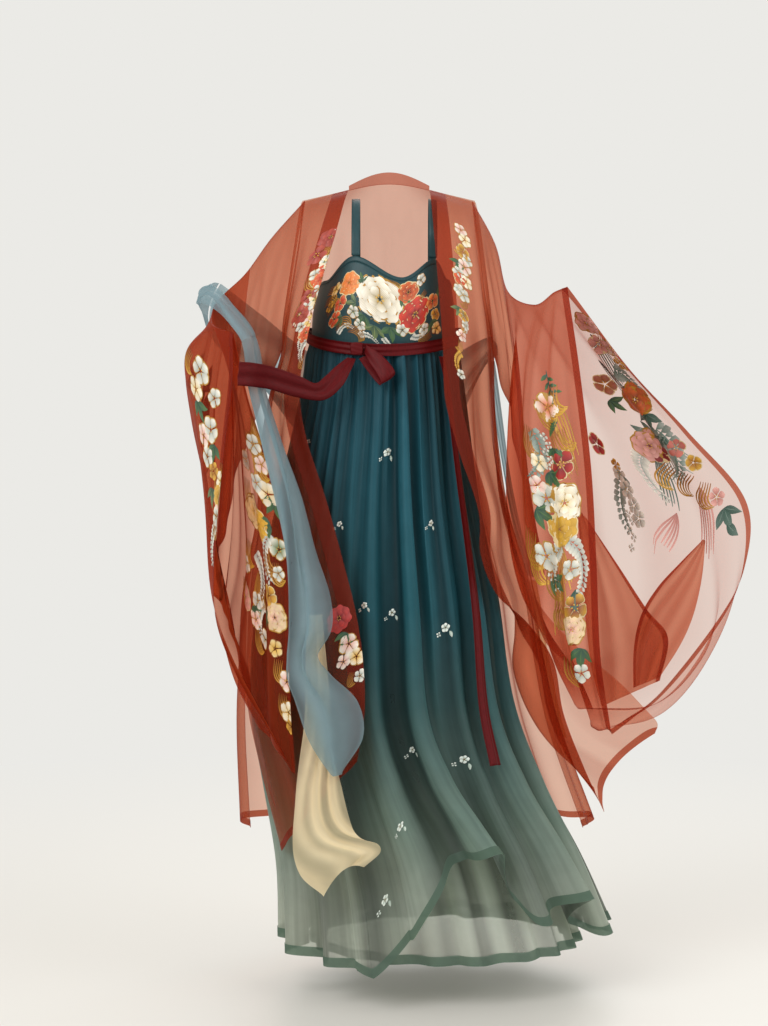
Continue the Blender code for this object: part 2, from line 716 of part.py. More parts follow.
RIGHT_HAND_BACK = [
    RingPoint(-0.222, -0.182, -0.870),
    RingPoint(-0.266, -0.162, -0.780),
    RingPoint(-0.292, -0.145, -0.660),
    RingPoint(-0.312, -0.125, -0.520),
    RingPoint(-0.338, -0.130, -0.380),
    RingPoint(-0.346, -0.146, -0.275),
    RingPoint(-0.298, -0.170, -0.222),
]
RIGHT_CUFF_FRONT = [
    RingPoint(-0.262, -0.236, -0.236),
    RingPoint(-0.238, -0.244, -0.345),
    RingPoint(-0.206, -0.242, -0.450),
    RingPoint(-0.180, -0.252, -0.560),
    RingPoint(-0.173, -0.256, -0.690),
    RingPoint(-0.172, -0.256, -0.810),
    RingPoint(-0.164, -0.246, -0.950),
]
RIGHT_CUFF_BACK = [
    RingPoint(-0.164, -0.246, -0.950),
    RingPoint(-0.210, -0.244, -0.870),
    RingPoint(-0.262, -0.242, -0.785),
    RingPoint(-0.294, -0.240, -0.690),
    RingPoint(-0.290, -0.242, -0.560),
    RingPoint(-0.276, -0.242, -0.420),
    RingPoint(-0.262, -0.244, -0.310),
    RingPoint(-0.262, -0.236, -0.236),
]
LEFT_FOREARM_FRONT = [
    RingPoint(0.234, -0.045, -0.188),
    RingPoint(0.212, -0.100, -0.300),
    RingPoint(0.202, -0.124, -0.450),
    RingPoint(0.206, -0.130, -0.600),
    RingPoint(0.232, -0.126, -0.710),
    RingPoint(0.282, -0.106, -0.790),
]
LEFT_FOREARM_BACK = [
    RingPoint(0.282, -0.106, -0.790),
    RingPoint(0.352, -0.060, -0.770),
    RingPoint(0.374, -0.010, -0.670),
    RingPoint(0.352, 0.030, -0.540),
    RingPoint(0.324, 0.042, -0.410),
    RingPoint(0.284, 0.026, -0.290),
    RingPoint(0.234, -0.045, -0.188),
]
LEFT_HAND_FRONT = [
    RingPoint(0.264, -0.090, -0.168),
    RingPoint(0.258, -0.140, -0.310),
    RingPoint(0.266, -0.162, -0.470),
    RingPoint(0.272, -0.170, -0.630),
    RingPoint(0.284, -0.172, -0.760),
    RingPoint(0.320, -0.150, -0.870),
]
LEFT_HAND_BACK = [
    RingPoint(0.320, -0.150, -0.870),
    RingPoint(0.432, -0.096, -0.865),
    RingPoint(0.500, -0.050, -0.806),
    RingPoint(0.526, -0.014, -0.720),
    RingPoint(0.498, 0.020, -0.560),
    RingPoint(0.438, 0.026, -0.420),
    RingPoint(0.352, -0.010, -0.285),
    RingPoint(0.264, -0.090, -0.168),
]
LEFT_CUFF_FRONT = [
    RingPoint(0.285, -0.105, -0.160),
    RingPoint(0.304, -0.136, -0.300),
    RingPoint(0.322, -0.156, -0.460),
    RingPoint(0.331, -0.164, -0.620),
    RingPoint(0.338, -0.166, -0.770),
    RingPoint(0.358, -0.150, -0.900),
]
LEFT_CUFF_BACK = [
    RingPoint(0.358, -0.150, -0.900),
    RingPoint(0.440, -0.130, -0.838),
    RingPoint(0.530, -0.090, -0.732),
    RingPoint(0.588, -0.040, -0.630),
    RingPoint(0.594, -0.020, -0.520),
    RingPoint(0.496, -0.026, -0.405),
    RingPoint(0.392, -0.056, -0.294),
    RingPoint(0.285, -0.105, -0.160),
]
SLEEVE_SEAM = 0.30  # share of the sleeve's length where its two lengths are joined
SLEEVE_COLUMNS = 20
ARMHOLE_TRIM, SEAM_TRIM = 0.012, 0.032


def arm_ring(row):
    """u runs from the top down the front wall, round the lowest point and up the back."""
    top = Vector((row.top_x, row.top_y, row.top_z))
    low = Vector((row.low_x, row.low_y, row.low_z))
    front = Vector((row.front_x, row.front_y, 0.0))
    back = Vector((row.back_x, row.back_y, 0.0))

    def curve(u):
        u = u % 1.0
        down = 2 * u if u <= 0.5 else 2 * (1 - u)
        off = max(0.0, math.sin(math.pi * down)) ** RING_ROUNDNESS
        return top.lerp(low, down) + (front if u <= 0.5 else back) * off

    return curve


def ring_through(front, back):
    """The same run of u, through a list of points for each wall."""

    def wall(points):
        through = [Vector(point) for point in points]
        run = loft([lambda _, here=here: here for here in through])
        return lambda share: run(0.0, share)

    front_wall, back_wall = wall(front), wall(back)

    def curve(u):
        u = u % 1.0
        return front_wall(2 * u) if u <= 0.5 else back_wall(2 * u - 1)

    return curve


def make_sleeves():
    sheer = bpy.data.materials["robe_chiffon"]
    folded = bpy.data.materials["robe_band_chiffon"]
    right = loft(
        [
            *[arm_ring(row) for row in RIGHT_UPPER_RINGS],
            ring_through(RIGHT_WRIST_FRONT, RIGHT_WRIST_BACK),
            ring_through(RIGHT_HAND_FRONT, RIGHT_HAND_BACK),
            ring_through(RIGHT_CUFF_FRONT, RIGHT_CUFF_BACK),
        ]
    )
    left = loft(
        [
            *[arm_ring(row) for row in LEFT_UPPER_RINGS],
            ring_through(LEFT_FOREARM_FRONT, LEFT_FOREARM_BACK),
            ring_through(LEFT_HAND_FRONT, LEFT_HAND_BACK),
            ring_through(LEFT_CUFF_FRONT, LEFT_CUFF_BACK),
        ]
    )
    for side, whole in (("right", right), ("left", left)):
        upper = part_of(whole, 0, 1, ARMHOLE_TRIM, SLEEVE_SEAM - SEAM_TRIM)
        lower = part_of(whole, 0, 1, SLEEVE_SEAM, 1)
        cloth(f"sleeve_{side}_upper", upper, SLEEVE_COLUMNS, 2, SHEER_WALL, sheer)
        body, cuff = above_hem(lower, CUFF_BAND + 0.002), hem_band(lower, CUFF_BAND)
        cloth(f"sleeve_{side}_wide", body, SLEEVE_COLUMNS, 5, SHEER_WALL, sheer)
        cloth(f"cuff_band_{side}", cuff, SLEEVE_COLUMNS, 1, BAND_WALL, folded)


# --- scarf --------------------------------------------------------------------------------

# A stretch of the scarf, along its length: one edge, the other, and how far its middle
# stands off the line between them.
ScarfRow = namedtuple("ScarfRow", "a_x a_y a_z b_x b_y b_z belly_x belly_y belly_z")
SCARF_BACK = [
    ScarfRow(0.176, 0.070, -0.272, 0.156, 0.100, -0.280, 0.006, 0.008, 0.0),
    ScarfRow(0.168, 0.110, -0.240, 0.140, 0.144, -0.320, 0.008, 0.012, 0.0),
    ScarfRow(0.122, 0.165, -0.262, 0.108, 0.184, -0.400, 0.004, 0.012, 0.0),
    ScarfRow(0.060, 0.214, -0.300, 0.055, 0.222, -0.480, 0.000, 0.014, 0.0),
    ScarfRow(-0.045, 0.222, -0.300, -0.045, 0.230, -0.490, 0.000, 0.014, 0.0),
    ScarfRow(-0.145, 0.190, -0.270, -0.140, 0.202, -0.440, -0.006, 0.014, 0.0),
    ScarfRow(-0.235, 0.125, -0.200, -0.225, 0.140, -0.340, -0.012, 0.012, 0.0),
    ScarfRow(-0.300, 0.070, -0.150, -0.312, 0.082, -0.250, -0.014, 0.012, 0.0),
]
SCARF_OVER_ARM = [
    ScarfRow(-0.302, 0.066, -0.149, -0.314, 0.078, -0.248, -0.014, 0.012, 0.0),
    ScarfRow(-0.312, 0.020, -0.146, -0.334, 0.014, -0.196, -0.010, 0.006, 0.0),
    ScarfRow(-0.298, -0.038, -0.158, -0.326, -0.062, -0.186, -0.004, 0.000, 0.010),
    ScarfRow(-0.268, -0.070, -0.183, -0.292, -0.110, -0.190, 0.000, 0.000, 0.012),
    ScarfRow(-0.222, -0.100, -0.245, -0.238, -0.160, -0.238, 0.012, 0.000, 0.014),
]
SCARF_RIGHT_FALL = [
    ScarfRow(-0.221, -0.101, -0.247, -0.237, -0.162, -0.240, 0.012, 0.000, 0.014),
    ScarfRow(-0.208, -0.150, -0.330, -0.232, -0.226, -0.326, 0.012, -0.006, 0.0),
    ScarfRow(-0.176, -0.196, -0.420, -0.206, -0.262, -0.410, 0.012, -0.010, 0.0),
    ScarfRow(-0.142, -0.226, -0.500, -0.184, -0.282, -0.490, 0.010, -0.014, 0.0),
    ScarfRow(-0.112, -0.240, -0.600, -0.174, -0.284, -0.590, 0.008, -0.020, 0.0),
    ScarfRow(-0.102, -0.262, -0.680, -0.170, -0.288, -0.690, 0.004, -0.022, 0.0),
    ScarfRow(-0.084, -0.280, -0.755, -0.160, -0.292, -0.775, 0.000, -0.022, 0.0),
    ScarfRow(-0.056, -0.294, -0.820, -0.142, -0.296, -0.835, 0.000, -0.020, 0.0),
    ScarfRow(-0.062, -0.300, -0.890, -0.122, -0.298, -0.890, 0.000, -0.014, 0.0),
    ScarfRow(-0.094, -0.302, -0.950, -0.102, -0.300, -0.950, 0.000, -0.004, 0.0),
]
SCARF_RIGHT_END = [
    ScarfRow(-0.118, -0.252, -0.690, -0.142, -0.256, -0.690, 0.000, -0.008, 0.0),
    ScarfRow(-0.112, -0.264, -0.780, -0.146, -0.266, -0.780, 0.000, -0.010, 0.0),
    ScarfRow(-0.104, -0.272, -0.870, -0.148, -0.270, -0.880, 0.000, -0.010, 0.0),
    ScarfRow(-0.092, -0.282, -0.960, -0.160, -0.276, -0.980, 0.000, -0.014, 0.0),
    ScarfRow(-0.070, -0.292, -1.030, -0.164, -0.280, -1.050, 0.000, -0.018, 0.0),
    ScarfRow(-0.026, -0.302, -1.062, -0.156, -0.284, -1.108, 0.000, -0.022, 0.012),
    ScarfRow(-0.052, -0.302, -1.092, -0.116, -0.292, -1.142, 0.000, -0.018, 0.022),
]
# The left end hangs against the robe's back: its place round the back, the share of the
# back's length, and half its width.
SCARF_LEFT_FALL = [
    LyingRow(0.875, 0.430, 0.018),
    LyingRow(0.900, 0.500, 0.017),
    LyingRow(0.915, 0.583, 0.016),
    LyingRow(0.915, 0.667, 0.016),
    LyingRow(0.910, 0.735, 0.016),
]
SCARF_LEFT_END = [
    LyingRow(0.910, 0.739, 0.016),
    LyingRow(0.905, 0.800, 0.016),
    LyingRow(0.900, 0.860, 0.017),
    LyingRow(0.895, 0.930, 0.019),
]
SCARF_CLEAR = 0.012


def scarf_surface(rows):
    def crossing(row):
        one = Vector((row.a_x, row.a_y, row.a_z))
        other = Vector((row.b_x, row.b_y, row.b_z))
        belly = Vector((row.belly_x, row.belly_y, row.belly_z))
        return lambda u: one.lerp(other, u) + belly * 4 * u * (1 - u)

    return loft([crossing(row) for row in rows])


def make_scarf():
    blue = material("scarf_blue_gauze", SCARF_BLUE, 0.7)
    cream = material("scarf_cream_gauze", SCARF_CREAM, 0.7)
    behind = back_surface()
    stretches = (
        ("scarf_back", scarf_surface(SCARF_BACK), blue, 4, 10),
        ("scarf_over_arm", scarf_surface(SCARF_OVER_ARM), blue, 4, 7),
        ("scarf_right_fall", scarf_surface(SCARF_RIGHT_FALL), blue, 4, 11),
        ("scarf_right_end", scarf_surface(SCARF_RIGHT_END), cream, 4, 8),
        ("scarf_left_fall", lying_surface(behind, SCARF_LEFT_FALL, SCARF_CLEAR), blue, 2, 6),
        ("scarf_left_end", lying_surface(behind, SCARF_LEFT_END, SCARF_CLEAR), cream, 2, 6),
    )
    for name, surface, finish, columns, lines in stretches:
        cloth(name, surface, columns, lines, SHEER_WALL, finish, trim_ends=0.004)


# --- the whole set ------------------------------------------------------------------------

for old in list(bpy.data.objects):
    bpy.data.objects.remove(old)

make_bodice()
make_skirt()
make_belt()
make_robe_body()
make_sleeves()
make_scarf()
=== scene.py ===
"""A wide-sleeved hanfu set as worn: skirt, embroidered bodice, ribbon, sheer robe and scarf."""

import math

import bmesh
import bpy
import numpy as np
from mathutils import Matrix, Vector


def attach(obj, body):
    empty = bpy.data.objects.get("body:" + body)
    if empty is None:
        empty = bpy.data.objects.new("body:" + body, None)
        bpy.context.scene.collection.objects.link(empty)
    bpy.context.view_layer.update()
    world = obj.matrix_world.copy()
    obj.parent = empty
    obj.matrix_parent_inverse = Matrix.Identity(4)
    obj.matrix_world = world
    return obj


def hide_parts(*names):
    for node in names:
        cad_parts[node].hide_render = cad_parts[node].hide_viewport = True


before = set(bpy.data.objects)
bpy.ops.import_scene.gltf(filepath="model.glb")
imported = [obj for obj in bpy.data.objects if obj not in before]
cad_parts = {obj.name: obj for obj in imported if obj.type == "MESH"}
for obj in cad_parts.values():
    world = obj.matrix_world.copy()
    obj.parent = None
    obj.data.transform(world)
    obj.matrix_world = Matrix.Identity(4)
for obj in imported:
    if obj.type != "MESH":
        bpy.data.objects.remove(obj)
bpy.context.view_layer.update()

# --- Skirt ----------------------------------------------------------------------------------
# Two layers of sheer gauze, gathered small into the seam under the bust and falling in soft
# pleats to the floor. The outer one is dyed from deep teal to sage, and the wind lifts its hem.
# Each layer is a front and a back half, hemmed with a wide double turning.


def rows_of(*rows):
    return np.array(rows, float)


def mm(*rows):
    """Rows of lengths that are written in millimetres."""
    return np.array(rows) / 1000


def through(rows, v):
    """Points of a smooth surface through rows: rows is (row, point, 3), and v each point's share."""
    last = len(rows) - 1
    place = np.clip(v, 0, 1) * last
    i = np.minimum(place.astype(int), last - 1)
    t = (place - i)[:, None]
    n = np.arange(len(v))
    here, there = rows[i, n], rows[i + 1, n]
    before = np.where((i > 0)[:, None], rows[np.maximum(i - 1, 0), n], 2 * here - there)
    after = np.where((i + 2 <= last)[:, None], rows[np.minimum(i + 2, last), n], 2 * there - here)
    return 0.5 * (
        2 * here
        + (there - before) * t
        + (2 * before - 5 * here + 4 * there - after) * t**2
        + (3 * here - before - 3 * there + after) * t**3
    )


def between(table, x, column=1):
    """A column of a table, read smoothly at x."""
    i = np.clip(np.searchsorted(table[:, 0], x) - 1, 0, len(table) - 2)
    t = np.clip((x - table[i, 0]) / (table[i + 1, 0] - table[i, 0]), 0, 1)
    return table[i, column] + (table[i + 1, column] - table[i, column]) * t * t * (3 - 2 * t)


def wander(seed, fewest, most):
    """A seeded wavy line over 0 to 1, about -1 to 1, that meets itself at the ends."""
    rng = np.random.default_rng(seed)
    waves = np.arange(fewest, most + 1)
    size, turn = rng.normal(size=len(waves)), rng.uniform(0, 2 * np.pi, len(waves))
    size /= np.sqrt((size**2).sum())
    return lambda x: sum(a * np.cos(2 * np.pi * k * x + p) for a, k, p in zip(size, waves, turn))


def ring_of(x, y, z):
    return np.stack(np.broadcast_arrays(x, y, z), axis=1)


class Cloth:
    """A length of cloth: rows of points down it, with the way out of its face at each."""

    def __init__(self, surface, columns, lines, out=1, folds=None, closed=False):
        v, u = np.meshgrid(
            np.linspace(0, 1, lines + 1), np.linspace(0, 1, columns + 1), indexing="ij"
        )
        self.u, self.v, self.out, self.closed = u, v, out, closed
        self.points = surface(u.ravel(), v.ravel()).reshape(*u.shape, 3)
        self.face()
        self.relief = np.zeros(u.shape)
        if folds is not None:
            depth = folds(u, v)
            self.points = self.points + self.normals * depth[..., None]
            self.relief = np.clip(depth / (1.6 * depth.std()), -1, 1)
            self.face()

    def face(self):
        p = self.points
        if self.closed:
            p = np.concatenate([p[:, -2:-1], p, p[:, 1:2]], axis=1)
        across = np.gradient(p, axis=1)
        if self.closed:
            across = across[:, 1:-1]
        n = np.cross(across, np.gradient(self.points, axis=0)) * self.out
        self.normals = n / np.maximum(np.linalg.norm(n, axis=2, keepdims=True), 1e-12)

    def metres(self):
        """How far each point is across and down the flat cloth, before it was gathered."""
        widest = np.linalg.norm(np.diff(self.points, axis=1), axis=2).sum(1).max()
        down = np.linalg.norm(np.diff(self.points, axis=0), axis=2).cumsum(0)
        return self.u * widest, np.pad(down, ((1, 0), (0, 0)))


def mesh_of(name, bm):
    mesh = bpy.data.meshes.new(name)
    bm.to_mesh(mesh)
    bm.free()
    return mesh


def placed(name, data):
    made = bpy.data.objects.new(name, data)
    bpy.context.scene.collection.objects.link(made)
    return made


def woven(name, cloth, finish, wall=0.0):
    """The mesh of a cloth, with a UV map in metres for its weave."""
    lines, columns = cloth.points.shape[0] - 1, cloth.points.shape[1] - 1
    bm = bmesh.new()
    bmesh.ops.create_grid(bm, x_segments=columns, y_segments=lines, size=0.5)
    mesh = mesh_of(name, bm)
    flat = np.empty(len(mesh.vertices) * 3)
    mesh.vertices.foreach_get("co", flat)
    i = np.rint((flat[0::3] + 0.5) * columns).astype(int)
    j = np.rint((0.5 - flat[1::3]) * lines).astype(int)
    mesh.vertices.foreach_set("co", cloth.points[j, i].ravel())
    across, down = cloth.metres()
    corner = np.empty(len(mesh.loops), int)
    mesh.loops.foreach_get("vertex_index", corner)
    metres = np.stack([across[j, i], down[j, i]], axis=1)[corner]
    mesh.uv_layers.new(name="cloth").data.foreach_set("uv", metres.ravel())
    fold = mesh.attributes.new("fold", "FLOAT", "POINT")
    fold.data.foreach_set("value", cloth.relief[j, i].ravel())
    if cloth.closed:
        bm = bmesh.new()
        bm.from_mesh(mesh)
        bmesh.ops.remove_doubles(bm, verts=bm.verts, dist=0.00002)
        bm.to_mesh(mesh)
        bm.free()
    if cloth.out > 0:
        mesh.flip_normals()
    mesh.materials.append(finish)
    mesh.shade_smooth()
    piece = placed(name, mesh)
    if wall:
        thick = piece.modifiers.new("wall", "SOLIDIFY")
        thick.thickness, thick.offset = wall, 0.0
    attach(piece, "root")
    return piece


def linear(colour):
    """An sRGB hex colour as the linear one that a shader takes."""
    parts = [int(colour[i : i + 2], 16) / 255 for i in (1, 3, 5)]
    return (*(c / 12.92 if c <= 0.04045 else ((c + 0.055) / 1.055) ** 2.4 for c in parts), 1.0)


def material(name):
    made = bpy.data.materials.new(name)
    made.use_nodes = True
    made.node_tree.nodes.clear()
    return made, made.node_tree


def add(tree, kind, sockets=(), stops=(), **settings):
    """A shader node with its settings, and what its sockets hold or are fed by. A colour ramp's
    stops are (place, colour), and a number stands for a grey."""
    made = tree.nodes.new(kind)
    for key, value in settings.items():
        setattr(made, key, value)
    for i, (place, colour) in enumerate(stops):
        stop = made.color_ramp.elements[i] if i < 2 else made.color_ramp.elements.new(place)
        stop.position = place
        colour = linear(colour) if isinstance(colour, str) else colour
        stop.color = colour if isinstance(colour, tuple) else (colour, colour, colour, 1)
    for socket, value in dict(sockets).items():
        if isinstance(value, bpy.types.NodeSocket):
            tree.links.new(value, made.inputs[socket])
        else:
            made.inputs[socket].default_value = value
    return made


# A Mix node that multiplies two colours takes its share in socket 0 and them in 6 and 7.
SHADED = {"data_type": "RGBA", "blend_type": "MULTIPLY"}


def sheer_finish(
    name, tint, cover, edge_cover, colour=None, colour_from=None, cover_from=None, valley_shade=0.4
):
    """A see-through cloth. Cover is how much of the light its threads stop, and edge_cover how
    much more they stop where it turns away. tint is what passes between them."""
    made, tree = material(name)
    facing = add(tree, "ShaderNodeLayerWeight", {"Blend": 0.5}).outputs["Facing"]
    steep = add(tree, "ShaderNodeMath", {0: facing, 1: 2.2}, operation="POWER").outputs[0]
    turned = add(tree, "ShaderNodeMath", {0: steep, 1: edge_cover}, operation="MULTIPLY").outputs[0]
    place = add(tree, "ShaderNodeTexCoord").outputs
    # Thick places in the thread run together into clouds, the largest about 40 mm across.
    slub = add(
        tree, "ShaderNodeTexNoise", {"Vector": place["UV"], "Scale": 26.0, "Detail": 4.0}
    ).outputs["Fac"]
    base = cover if cover_from is None else cover_from(tree, place)
    uneven = add(tree, "ShaderNodeMapRange", {"Value": slub, "To Min": 0.86, "To Max": 1.14})
    # Painted shade: the valleys of the folds are made to stop more light than their ridges, which
    # darkens the valleys and clears the ridges.
    fold = add(tree, "ShaderNodeAttribute", attribute_name="fold").outputs["Fac"]
    valley_cover = add(
        tree, "ShaderNodeMapRange",
        {"Value": fold, "From Min": -1.0, "To Min": 1.0 + valley_shade, "To Max": 1.0 - valley_shade},
    )
    both = add(
        tree, "ShaderNodeMath", {0: uneven.outputs[0], 1: valley_cover.outputs[0]}, operation="MULTIPLY"
    ).outputs[0]
    dense = add(tree, "ShaderNodeMath", {0: base, 1: both}, operation="MULTIPLY").outputs[0]
    amount = add(tree, "ShaderNodeMath", {0: dense, 1: turned}, operation="ADD", use_clamp=True)
    thread = linear(colour) if colour_from is None else colour_from(tree, place)
    shine = {"Base Color": thread, "Roughness": 0.55, "Specular IOR Level": 0.25}
    face = add(tree, "ShaderNodeBsdfPrincipled", shine)
    glow = add(tree, "ShaderNodeBsdfTranslucent", {"Color": thread})
    body = add(tree, "ShaderNodeMixShader", {0: 0.45, 1: face.outputs[0], 2: glow.outputs[0]})
    through_it = tint if isinstance(tint, tuple) else tint(tree, place)
    gaps = add(tree, "ShaderNodeBsdfTransparent", {"Color": through_it})
    look = add(
        tree, "ShaderNodeMixShader", {0: amount.outputs[0], 1: gaps.outputs[0], 2: body.outputs[0]}
    )
    add(tree, "ShaderNodeOutputMaterial", {"Surface": look.outputs[0]})
    return made


def dyed_and_fold_shaded(*stops, low=-1.28, high=-0.25, streak=0.0):
    """A dye that changes with the height on the body, with fine streaks down the cloth, painted shade
    in the valleys of its folds and painted light on their ridges.
    """

    def colour(tree, place):
        z = add(tree, "ShaderNodeSeparateXYZ", {0: place["Object"]}).outputs["Z"]
        # The shades run into each other in clouds about 200 mm across.
        cloudy = add(
            tree, "ShaderNodeTexNoise", {"Vector": place["Object"], "Scale": 5.0, "Detail": 3.0}
        ).outputs["Fac"]
        uneven = add(tree, "ShaderNodeMath", {0: cloudy, 1: 0.5}, operation="SUBTRACT").outputs[0]
        shift = add(tree, "ShaderNodeMath", {0: uneven, 1: 0.16}, operation="MULTIPLY").outputs[0]
        height = add(
            tree, "ShaderNodeMapRange", {"Value": z, "From Min": high, "From Max": low}
        ).outputs[0]
        at = add(tree, "ShaderNodeMath", {0: height, 1: shift}, operation="ADD").outputs[0]
        made = add(tree, "ShaderNodeValToRGB", {"Fac": at}, stops).outputs["Color"]
        # Painted shade and light from the folds: the dye is darkened to 0.42 in their valleys and
        # lightened to 1.40 on their ridges.
        fold = add(tree, "ShaderNodeAttribute", attribute_name="fold").outputs["Fac"]
        lit = add(
            tree, "ShaderNodeMapRange",
            {"Value": fold, "From Min": -1.0, "To Min": 0.42, "To Max": 1.40},
        ).outputs[0]
        made = add(tree, "ShaderNodeMix", {0: 1.0, 6: made, 7: lit}, **SHADED).outputs[2]
        if not streak:
            return made
        # Lighter and darker streaks about 10 mm wide run down the cloth.
        stretched = add(
            tree, "ShaderNodeMapping", {"Vector": place["UV"], "Scale": (1.0, 0.03, 1.0)}
        ).outputs[0]
        lines = add(
            tree, "ShaderNodeTexNoise", {"Vector": stretched, "Scale": 90.0, "Detail": 2.0}
        ).outputs["Fac"]
        light = add(
            tree, "ShaderNodeValToRGB", {"Fac": lines}, ((0.35, 1 - streak), (0.68, 1 + streak * 0.5))
        ).outputs["Color"]
        return add(tree, "ShaderNodeMix", {0: 1.0, 6: made, 7: light}, **SHADED).outputs[2]

    return colour


# drop, centre x, centre y, half width, half depth, depth of the valleys between the pleats
SKIRT_RINGS = mm(
    (252.5, -20, 0, 126, 108, 4), (350, -21, -5, 140, 125, 9), (520, -28, -10, 171, 155, 14),
    (690, -28, -18, 206, 182, 19), (860, -20, -28, 225, 206, 26), (1000, 15, -38, 240, 226, 34),
    (1140, 58, -50, 263, 246, 42), (1275, 85, -60, 287, 264, 48),
)
# place round the skirt from the right side seam over the front, height of the ridge there
SKIRT_PLEATS = rows_of(
    (0.000, 0.80), (0.062, 0.95), (0.118, 0.70), (0.178, 1.00), (0.240, 0.75), (0.290, 1.00),
    (0.350, 0.85), (0.402, 1.00), (0.452, 0.80), (0.500, 1.00), (0.585, 0.80), (0.668, 1.00),
    (0.742, 0.75), (0.826, 0.95), (0.908, 0.85), (1.000, 0.80),
)
# place round the skirt, how far the wind lifts the outer hem there
OUTER_LIFTS = rows_of(
    (0.000, 0.020), (0.120, 0.005), (0.178, 0.000), (0.215, 0.060), (0.262, 0.190),
    (0.295, 0.200), (0.345, 0.080), (0.402, 0.110), (0.450, 0.035), (0.505, 0.050),
    (0.600, 0.015), (1.000, 0.020),
)
INNER_LIFTS = rows_of((0.0, 0.012), (1.0, 0.012))


def pleat_ridges(u):
    u = np.mod(u, 1.0)
    i = np.clip(np.searchsorted(SKIRT_PLEATS[:, 0], u) - 1, 0, len(SKIRT_PLEATS) - 2)
    low, high = SKIRT_PLEATS[i], SKIRT_PLEATS[i + 1]
    t = (u - low[:, 0]) / (high[:, 0] - low[:, 0])
    height = low[:, 1] + (high[:, 1] - low[:, 1]) * t
    return height * 0.5 * (1 + np.cos(2 * np.pi * t))


def skirt_layer(inset, valley_share, lifts):
    """u runs round from the right side seam over the front, v from the waist seam to the hem."""

    def surface(u, v):
        turn = np.pi * (1 + 2 * u)
        lift, rings = between(lifts, np.mod(u, 1.0)), []
        for i, (drop, x, y, wide, deep, valley) in enumerate(SKIRT_RINGS):
            inward = inset + valley * valley_share * (1 - pleat_ridges(u)) + (valley if inset else 0)
            raised = max(0.0, (i / (len(SKIRT_RINGS) - 1) - 0.55) / 0.45) ** 1.6 * lift
            wide, deep = wide - inward, deep - inward
            rings.append(ring_of(x + wide * np.cos(turn), y + deep * np.sin(turn), raised - drop))
        return through(np.array(rings), v)

    return surface


def part(surface, u0, u1, v0=0.0, v1=1.0):
    return lambda u, v: surface(u0 + (u1 - u0) * u, v0 + (v1 - v0) * v)


def gathers(seed, u0, u1, deep=1.0):
    """Small gathers at the waist seam that run together into soft pleats lower down."""
    tight, loose, wide = wander(seed, 46, 84), wander(seed + 1, 22, 48), wander(seed + 2, 12, 26)

    def depth(u, v):
        w = u0 + (u1 - u0) * u
        drift = w + 0.004 * np.sin(5 * v + 9 * w)
        top, middle = np.exp(-((v / 0.22) ** 2)), np.exp(-(((v - 0.30) / 0.34) ** 2))
        low = np.clip((v - 0.15) / 0.55, 0, 1)
        seam = np.clip(v / 0.036, 0.15, 1)
        fold = 0.0020 * top * tight(drift) + 0.0052 * middle * loose(drift) + 0.0085 * low * wide(drift)
        return fold * deep * seam

    return depth


# Fine silk gauze dipped from deep teal to sage. Its open threads scatter the light softly, and it is
# see-through near the hem, where it hangs in fewer folds.
# Both dyes also carry painted shade in the valleys of the folds and painted light on their ridges.
TEAL_TO_SAGE = dyed_and_fold_shaded(
    (0.00, "#235260"), (0.16, "#285f6d"), (0.42, "#29606b"), (0.60, "#45696a"),
    (0.76, "#788c82"), (0.90, "#a7aea3"), (1.00, "#b7bbae"), streak=0.14,
)
SAGE_UNDER = dyed_and_fold_shaded((0.0, "#173842"), (0.5, "#2f4d4e"), (0.8, "#8a978c"), (1.0, "#adb3a6"))


def skirt_cover(top, hem):
    def cover(tree, place):
        z = add(tree, "ShaderNodeSeparateXYZ", {0: place["Object"]}).outputs["Z"]
        return add(
            tree, "ShaderNodeMapRange",
            {"Value": z, "From Min": -0.55, "From Max": -1.25, "To Min": top, "To Max": hem},
        ).outputs[0]

    return cover


skirt_gauze = sheer_finish(
    "skirt_gauze", linear("#dbe2da"), 0.8, 0.35, colour_from=TEAL_TO_SAGE,
    cover_from=skirt_cover(0.92, 0.60), valley_shade=0.08
)
skirt_lining = sheer_finish(
    "skirt_lining", linear("#dbe2da"), 0.8, 0.3, colour_from=SAGE_UNDER,
    cover_from=skirt_cover(0.92, 0.55), valley_shade=0.05
)
# The same gauze folded double, so it is closer and greener.
hem_gauze = sheer_finish("skirt_hem_gauze", linear("#c3d0c4"), 0.62, 0.3, colour="#6c8375")


# Where someone stands who looks at the set from the front.
STAND_X, STAND_Y, STAND_Z = -0.019, -4.6, -0.274


